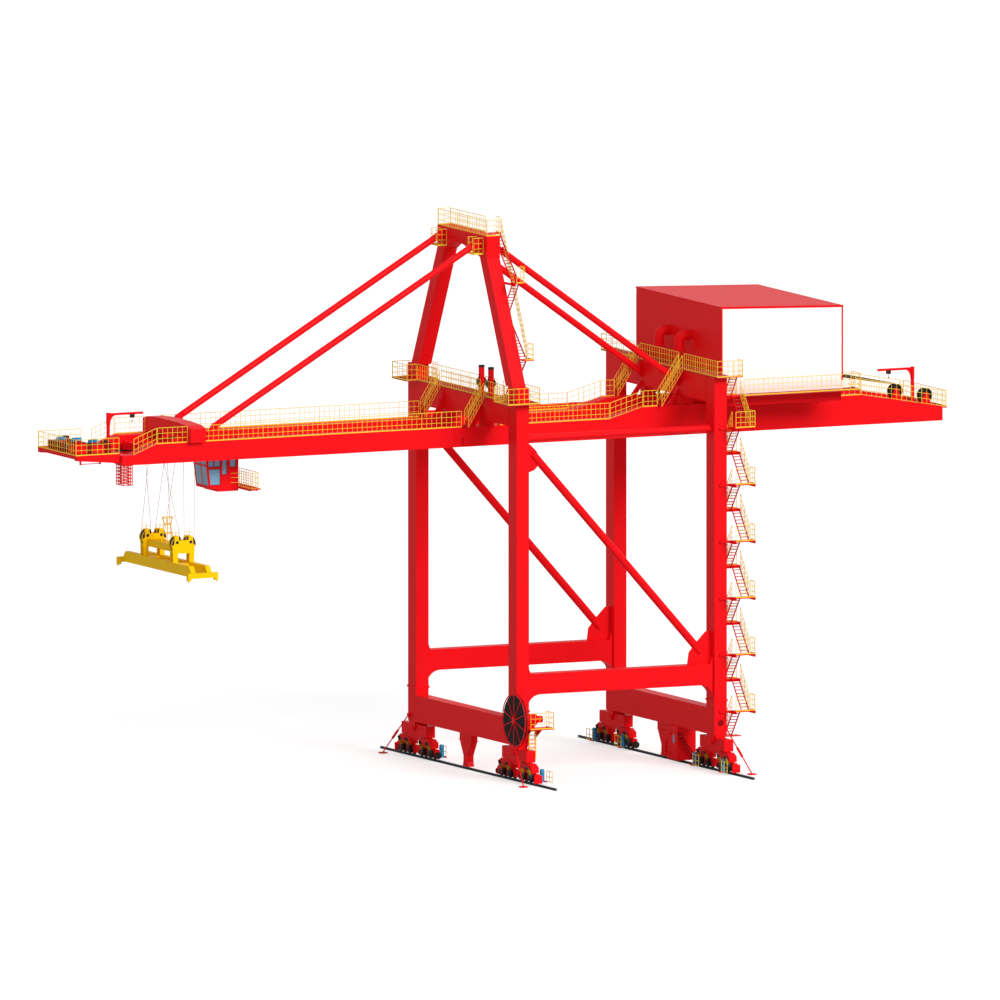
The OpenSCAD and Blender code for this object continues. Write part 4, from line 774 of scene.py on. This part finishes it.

# %% [markdown]
# ## Headblock fittings
# The ropes turn round sheaves inside the headblock's two humped frames. The ends of their pins show as dark
# caps, and low hoops on top keep a slack rope in its groove. The openings in the shoulders that let the ropes
# in, and the eyes at the top, are drawn as thin black plates on the frame faces: painted shade of their
# insides.

# %% Pins, painted shade of the openings, and hoops
# Outlines of thin black plates on the frame faces: painted shade where the shoulder openings and the eyes at
# the top are.
shoulder_opening_shade = [(0.485, 0.61), (0.46, 0.77), (0.375, 0.90), (0.385, 0.66)]
eye_opening_shade = [(0.20, 0.955), (0.15, 0.955), (0.10, 0.82), (0.18, 0.80)]
pin_and_opening_shade_bm, hoop_bm = bmesh.new(), bmesh.new()
pin_outline = [(0.0, 16), (48, 16), (58, 8), (58, -4)]
for low, high, points in solids("headblock_sheaves"):
    hub = (low + high) / 2
    for face_y in (hub.y - 0.14, hub.y + 0.14):
        out = -1 if face_y < hub.y else 1
        turned(pin_and_opening_shade_bm, [(r * MM, h * MM) for r, h in pin_outline],
               facing((hub.x, face_y, hub.z), (0, out, 0)), 20)
        turn = 1 if hub.x > TROLLEY_X else -1
        # Each frame face gets the two black plates of painted opening shade.
        for outline in (shoulder_opening_shade, eye_opening_shade):
            plate(pin_and_opening_shade_bm, [(TROLLEY_X + turn * x, face_y, block_low.z + z) for x, z in outline],
                  (0.0, out * 6 * MM, 0.0))
    for y in (hub.y - 0.11, hub.y + 0.11):
        legs_x = (hub.x - 0.07, hub.x + 0.07)
        foot_z, top_z = block_low.z + 0.93, block_low.z + 1.10
        for x in legs_x:
            tube(hoop_bm, (x, y, foot_z), (x, y, top_z), MID_R, 6)
        tube(hoop_bm, (legs_x[0], y, top_z), (legs_x[1], y, top_z), MID_R, 6)
piece("headblock_pins_and_opening_shade", pin_and_opening_shade_bm, cast_iron, "hoist")
piece("headblock_hoops", hoop_bm, spreader_enamel, "hoist")

# %% [markdown]
# ## Machinery on the boom tip, and the two jib hoists
# Small winches stand on the tip platform: red boxes and dark gear cases with blue motors. A motor here is
# the same turned outline as on the gantry drives, scaled to its place. Each jib carries a chain hoist.

# %% Tip motors and jib hoists
tip_low, tip_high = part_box("tip_platform")
tip_origin = Vector((tip_high.x, 0.0, tip_high.z))


def motor(bm, start, direction, radius, length):
    """The motor outline, scaled to a radius and a length."""
    outline = [(r * radius / 66, h * length / 358) for r, h in motor_outline]
    turned(bm, outline, facing(start, direction), 24)


motor_bm, winch_bm, drum_bm = bmesh.new(), bmesh.new(), bmesh.new()
motor(motor_bm, tip_origin + Vector((-1.395, -0.602, 0.18)), (0, 1, 0), 0.119, 0.426)
motor(motor_bm, tip_origin + Vector((-0.705, -0.452, 0.18)), (0, 1, 0), 0.104, 0.366)
for x, y, z in ((-1.60, -0.95, 0.52), (-0.90, -0.90, 0.42), (-1.50, 0.55, 0.39)):
    motor(motor_bm, tip_origin + Vector((x, y, z)), (1, 0, 0), 0.085, 0.36)
    block(winch_bm, tip_origin + Vector((x + 0.05, y - 0.10, z - 0.09)),
          tip_origin + Vector((x + 0.32, y + 0.10, z - 0.05)))
for low, high in (((-1.63, -1.255, 0.03), (-1.17, -1.244, 0.41)),
                  ((-0.93, -1.306, 0.03), (-0.47, -1.295, 0.31)),
                  ((-1.631, -1.2, 0.05), (-1.62, -0.7, 0.39)),
                  ((-1.20, 0.27, 0.04), (-0.95, 0.30, 0.26))):
    block(winch_bm, tip_origin + Vector(low), tip_origin + Vector(high))
drum_outline = [(0.0, 206), (134, 206), (134, 186), (112, 180), (112, 20), (134, 14), (134, -2)]
turned(drum_bm, [(r * MM, h * MM) for r, h in drum_outline],
       facing(tip_origin + Vector((-1.125, 0.6, 0.28)), (0, 0, 1)))
reel_outline = [(0, -150), (110, -150), (110, -130), (80, -125), (80, 125), (110, 130), (110, 150), (0, 150)]
for x in (-0.30, 0.05):
    turned(drum_bm, [(r * MM, h * MM) for r, h in reel_outline],
           facing(tip_origin + Vector((x - 0.1, 0.45, 0.12)), (0, 1, 0)))
gear_bm = bmesh.new()
for low, high in (((-1.16, -1.27, 0.0), (-0.94, -0.92, 0.36)), ((-0.46, -1.28, 0.0), (-0.20, -0.98, 0.42)),
                  ((-1.15, -0.20, 0.0), (-0.85, 0.15, 0.40)), ((-1.60, -0.10, 0.0), (-1.30, 0.25, 0.30))):
    block(gear_bm, tip_origin + Vector(low), tip_origin + Vector(high))
    rim = Vector((0.015, 0.015, 0.0))
    block(gear_bm, tip_origin + Vector(low) - rim, tip_origin + Vector((*(Vector(high) + rim).xy, 0.03)))
    middle = tip_origin + (Vector(low) + Vector(high)) / 2
    middle.z = tip_origin.z + high[2]
    turned(drum_bm, [(0.09, -0.01), (0.09, 0.03), (0.06, 0.05), (0.0, 0.05)], facing(middle, (0, 0, 1)), 16)
piece("tip_gear_cases", gear_bm, dark_red_topcoat)
piece("tip_motors", motor_bm, blue_enamel)
piece("tip_winch_panels", winch_bm, red_topcoat)
piece("tip_drums", drum_bm, cast_iron)

HOIST_OUT = 0.97
for node_name, joint_name in (("tip_jib", "tip_jib_slew"), ("rear_jib", "rear_jib_slew")):
    low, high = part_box(node_name)
    post = Vector(joints[joint_name]["pos_m"])
    turn = 1 if high.x - post.x > post.x - low.x else -1
    under = high.z - 80 * MM
    hook = Vector((post.x + turn * HOIST_OUT, post.y, under))
    hoist_bm = bmesh.new()
    block(hoist_bm, hook + Vector((-0.076, -0.056, -0.126)), hook + Vector((0.076, 0.056, -0.002)))
    turned(hoist_bm, [(0.0, -0.09), (0.045, -0.09), (0.05, -0.07), (0.05, 0.07), (0.045, 0.09), (0.0, 0.09)],
           facing(hook + Vector((0.0, 0.0, -0.09)), (0, 1, 0)), 16)
    tube(hoist_bm, hook + Vector((0, 0, -0.12)), hook + Vector((0, 0, -0.26)), 6 * MM, 6)
    bmesh.ops.create_icosphere(hoist_bm, subdivisions=2, radius=0.028,
                               matrix=Matrix.Translation(hook + Vector((0, 0, -0.27))))
    piece(node_name + "_hoist", hoist_bm, cast_iron, node_name)

# %% [markdown]
# ## Ribs and trim of the machinery house
# The house is clad with sheets. The white side walls have narrow standing ribs and a white skirt that hides
# the edge of the floor down to the gallery. Red angles cover the corners and the roof's sloping edges.

# %% Ribs, skirt and corner trim
RIB_GAP = 0.62
RIB_HALF = 8 * MM
RIB_OUT = 5 * MM
SKIRT_UP = 80 * MM
TRIM_OUT = 12 * MM
SKIRT_DROP = 230 * MM
side_low, side_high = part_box("house_side_walls")
roof_low, roof_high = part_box("house_roof")
end_low, end_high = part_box("house_end_walls")
white_bm, trim_bm = bmesh.new(), bmesh.new()
ribs = round((side_high.x - side_low.x) / RIB_GAP)
eaves = roof_low.z - 0.01
for side in (-1, 1):
    wall = side * side_high.y
    face = wall + side * TRIM_OUT
    for i in range(1, ribs):
        x = side_low.x + (side_high.x - side_low.x) * i / ribs
        block(white_bm, (x - RIB_HALF, wall, side_low.z + SKIRT_UP),
              (x + RIB_HALF, wall + side * RIB_OUT, eaves))
    block(white_bm, (end_low.x, wall, side_low.z - SKIRT_DROP), (end_high.x, face, side_low.z + SKIRT_UP))
    for x in (end_low.x, end_high.x - 0.05):
        block(trim_bm, (x, wall - side * 2 * MM, side_low.z + SKIRT_UP), (x + 0.05, face, eaves))
    edge = side * (roof_high.y - 0.02)
    tube(trim_bm, (roof_low.x + 0.01, edge, roof_high.z - 2 * MM),
         (roof_high.x - 0.01, edge, roof_low.z + 68 * MM), 7 * MM, 6)
piece("white_ribs_and_skirts", white_bm, white_cladding)
piece("house_corner_trim", trim_bm, red_topcoat)

# %% [markdown]
# ## Oval window of the cabin door
# The ground cabin's door has one oval window. Its outline is two half circles, and the pane sits halfway
# through the door. It rides on the door, so it swings with it.

# %% Glaze the door
WINDOW_R = 90 * MM
WINDOW_ARCS = (220 * MM, 370 * MM)
leaf_high, points = max(solids("cabin_door"), key=lambda found: found[1].z - found[0].z)[1:]
inner_face = [p for p in points if abs(p.x - leaf_high.x) < MM]
window_y = (min(p.y for p in inner_face) + max(p.y for p in inner_face)) / 2
outline = []
for arc, drop in enumerate(WINDOW_ARCS):
    for i in range(13):
        turn = (arc + i / 12) * math.pi
        outline.append((leaf_high.x - 18 * MM, window_y + WINDOW_R * math.cos(turn),
                        leaf_high.z - drop + WINDOW_R * math.sin(turn)))
pane_bm = bmesh.new()
plate(pane_bm, outline, (6 * MM, 0.0, 0.0))
piece("cabin_door_pane", pane_bm, cab_pane, "cabin_door")

# %% [markdown]
# ## Small steelwork at the feet and at the tip
# The last pieces are a yellow ladder to the reel platform, guard frames of bent tube beside the rail clamps,
# a bar under the tip platform for hanging tools, dark manhole covers on the ends of the sill beams, and
# dark edge bars on the steep stair that climbs beside the ground cabin.

# %% Ladder, guards and hanging bar
small_bm, dark_bm = bmesh.new(), bmesh.new()
LADDER_X = (0.165, 0.425)
ladder_y = legs_low.y - 0.16
ladder_z = (sill_low.z - 0.10, reel_centre.z - 0.35)
for x in LADDER_X:
    block(small_bm, (x - 0.02, ladder_y - 0.02, ladder_z[0]), (x + 0.02, ladder_y + 0.02, ladder_z[1]))
for i in range(5):
    rung = sill_low.z - 0.0475 + i * 0.15
    tube(small_bm, (LADDER_X[0], ladder_y, rung), (LADDER_X[1], ladder_y, rung), 0.017)
GUARD_LONG, GUARD_HIGH = 0.5, 0.42
for low, high, points in solids("rail_clamps"):
    y = (low.y + high.y) / 2
    toward_x = min(RAIL_X, key=lambda x: min(abs(low.x - x), abs(high.x - x)))
    outward = 1 if (low.x + high.x) / 2 > toward_x else -1
    x = (high.x if outward > 0 else low.x) + outward * 0.02
    reach = -1 if y < 0 else 1
    for share in (0.0, 0.5, 1.0):
        foot = Vector((x, y - 0.1 + share * GUARD_LONG * reach, low.z + 0.02))
        tube(small_bm, foot, foot + Vector((0, 0, GUARD_HIGH)), BAR_R * 1.6, 6)
    for level in (0.04, GUARD_HIGH / 2, GUARD_HIGH):
        tube(small_bm, (x, y - 0.1, low.z + level), (x, y - 0.1 + GUARD_LONG * reach, low.z + level),
             BAR_R * 1.6, 6)
    block(dark_bm, (x - outward * 0.06, y - 0.12, low.z - 0.01), (x + outward * 0.02, y + 0.12, low.z + 0.03))
piece("ladder_and_guards", small_bm, golden_enamel)
HANG_X = (-16.39, -15.60)
hang_y = tip_low.y + 0.20
for x in HANG_X:
    block(dark_bm, (x - 0.03, hang_y - 0.02, tip_high.z - 0.36), (x + 0.03, hang_y + 0.02, tip_high.z - 0.18))
tube(dark_bm, (HANG_X[0], hang_y, tip_high.z - 0.33), (HANG_X[1], hang_y, tip_high.z - 0.33), 0.014)
piece("hanging_bar_and_plates", dark_bm, red_topcoat)
MANHOLE_DOWN = 0.53
manhole_outline = [(0.0, 10), (70, 10), (78, 4), (92, 4), (96, 16), (110, 16), (110, -2)]
manhole_bm = bmesh.new()
for x in RAIL_X:
    for side, face_y in ((-1, sill_low.y), (1, sill_high.y)):
        spot = Vector((x, face_y, sill_high.z - MANHOLE_DOWN))
        turned(manhole_bm, [(r * MM, h * MM) for r, h in manhole_outline], facing(spot, (0, side, 0)))
piece("manhole_covers", manhole_bm, dark_red_topcoat)
STAIR_RUN = Vector((-0.767, 0.0, 1.15))
STAIR_WIDE = 0.28
STAIR_BARS = 9
STAIR_INNER = 20 * MM
STAIR_UP = 30 * MM
EDGE_R = 22 * MM
RUNG_R = 14 * MM
cabin_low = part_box("ground_cabin")[0]
edge_bm = bmesh.new()
stair_foot = Vector((cabin_low.x - STAIR_RUN.x, cabin_low.y, STAIR_UP))
for y in (-STAIR_WIDE, -STAIR_INNER):
    start = stair_foot + Vector((0.0, y, 0.0))
    tube(edge_bm, start, start + STAIR_RUN, EDGE_R)
for i in range(1, STAIR_BARS):
    spot = stair_foot + STAIR_RUN * (i / STAIR_BARS)
    tube(edge_bm, spot - Vector((0, STAIR_WIDE, 0)), spot - Vector((0, STAIR_INNER, 0)), RUNG_R, 6)
piece("cabin_stair_edges", edge_bm, dark_red_topcoat)

# %% [markdown]
# ## Floor, light and camera
# The picture is a studio view on white. The floor is one huge plane, so that it fills the frame behind the
# crane too. It glows a little, for the camera alone, which makes it read as pale without lighting the
# crane, and it still takes a soft shadow. The lamp is a wide sun from the viewer's
# side, so that near faces are bright and waterside faces stay darker.

# %% Floor and world
FLOOR_HALF = 600.0
scene = bpy.context.scene
scene.view_settings.view_transform = "Standard"


def seen_ray(tree):
    """A factor that is 1 for camera and glass rays, and 0 for the rays that light the crane."""
    path = add(tree, "ShaderNodeLightPath")
    seen = {0: path.outputs["Is Camera Ray"], 1: path.outputs["Is Transmission Ray"]}
    return add(tree, "ShaderNodeMath", seen, operation="ADD", use_clamp=True).outputs[0]


floor_bm = bmesh.new()
bmesh.ops.create_grid(floor_bm, x_segments=1, y_segments=1, size=FLOOR_HALF)
floor_mesh = bpy.data.meshes.new("studio_floor")
floor_bm.to_mesh(floor_mesh)
floor_bm.free()
floor = bpy.data.objects.new("studio_floor", floor_mesh)
scene.collection.objects.link(floor)
floor_paint, tree, coords = new_material("pale_studio_floor")
glow = add(tree, "ShaderNodeMath", {0: seen_ray(tree), 1: 0.60}, operation="MULTIPLY")
close(tree, add(tree, "ShaderNodeBsdfPrincipled",
                {"Base Color": (0.55, 0.55, 0.55, 1.0), "Roughness": 1.0, "Specular IOR Level": 0.0,
                 "Emission Color": (1.0, 1.0, 1.0, 1.0), "Emission Strength": glow.outputs[0]}))
floor_mesh.materials.append(floor_paint)

world = bpy.data.worlds.new("studio_world")
scene.world = world
world.use_nodes = True
world.node_tree.nodes.clear()
level = add(world.node_tree, "ShaderNodeMapRange", {"Value": seen_ray(world.node_tree), "To Min": 0.72,
                                                    "To Max": 1.0})
sky = add(world.node_tree, "ShaderNodeBackground", {"Strength": level.outputs[0]})
add(world.node_tree, "ShaderNodeOutputWorld", {"Surface": sky.outputs[0]})
print("floor and world made")

# %% Sun and camera
SUN_FROM = Vector((0.20, -0.85, 0.48))
AZIMUTH = math.radians(-25.5)
ELEVATION = math.radians(6.68)
VIEW_WIDTH = 36.496
VIEW_CENTRE = Vector((1.273, 0.0, 9.839))
VIEW_DISTANCE = 80.0

lamp = bpy.data.lights.new("soft_sun", "SUN")
lamp.energy = 2.1
lamp.angle = math.radians(25)
sun = bpy.data.objects.new("soft_sun", lamp)
sun.rotation_euler = SUN_FROM.to_track_quat("Z", "Y").to_euler()
scene.collection.objects.link(sun)

lens = bpy.data.cameras.new("photo_camera")
lens.type = "ORTHO"
lens.ortho_scale = VIEW_WIDTH
lens.clip_end = 2000.0
camera = bpy.data.objects.new("photo_camera", lens)
back = Vector((math.sin(AZIMUTH) * math.cos(ELEVATION), -math.cos(AZIMUTH) * math.cos(ELEVATION),
               math.sin(ELEVATION)))
camera.location = VIEW_CENTRE + back * VIEW_DISTANCE
camera.rotation_euler = back.to_track_quat("Z", "Y").to_euler()
scene.collection.objects.link(camera)
scene.camera = camera
print("camera at", [round(c, 2) for c in camera.location])
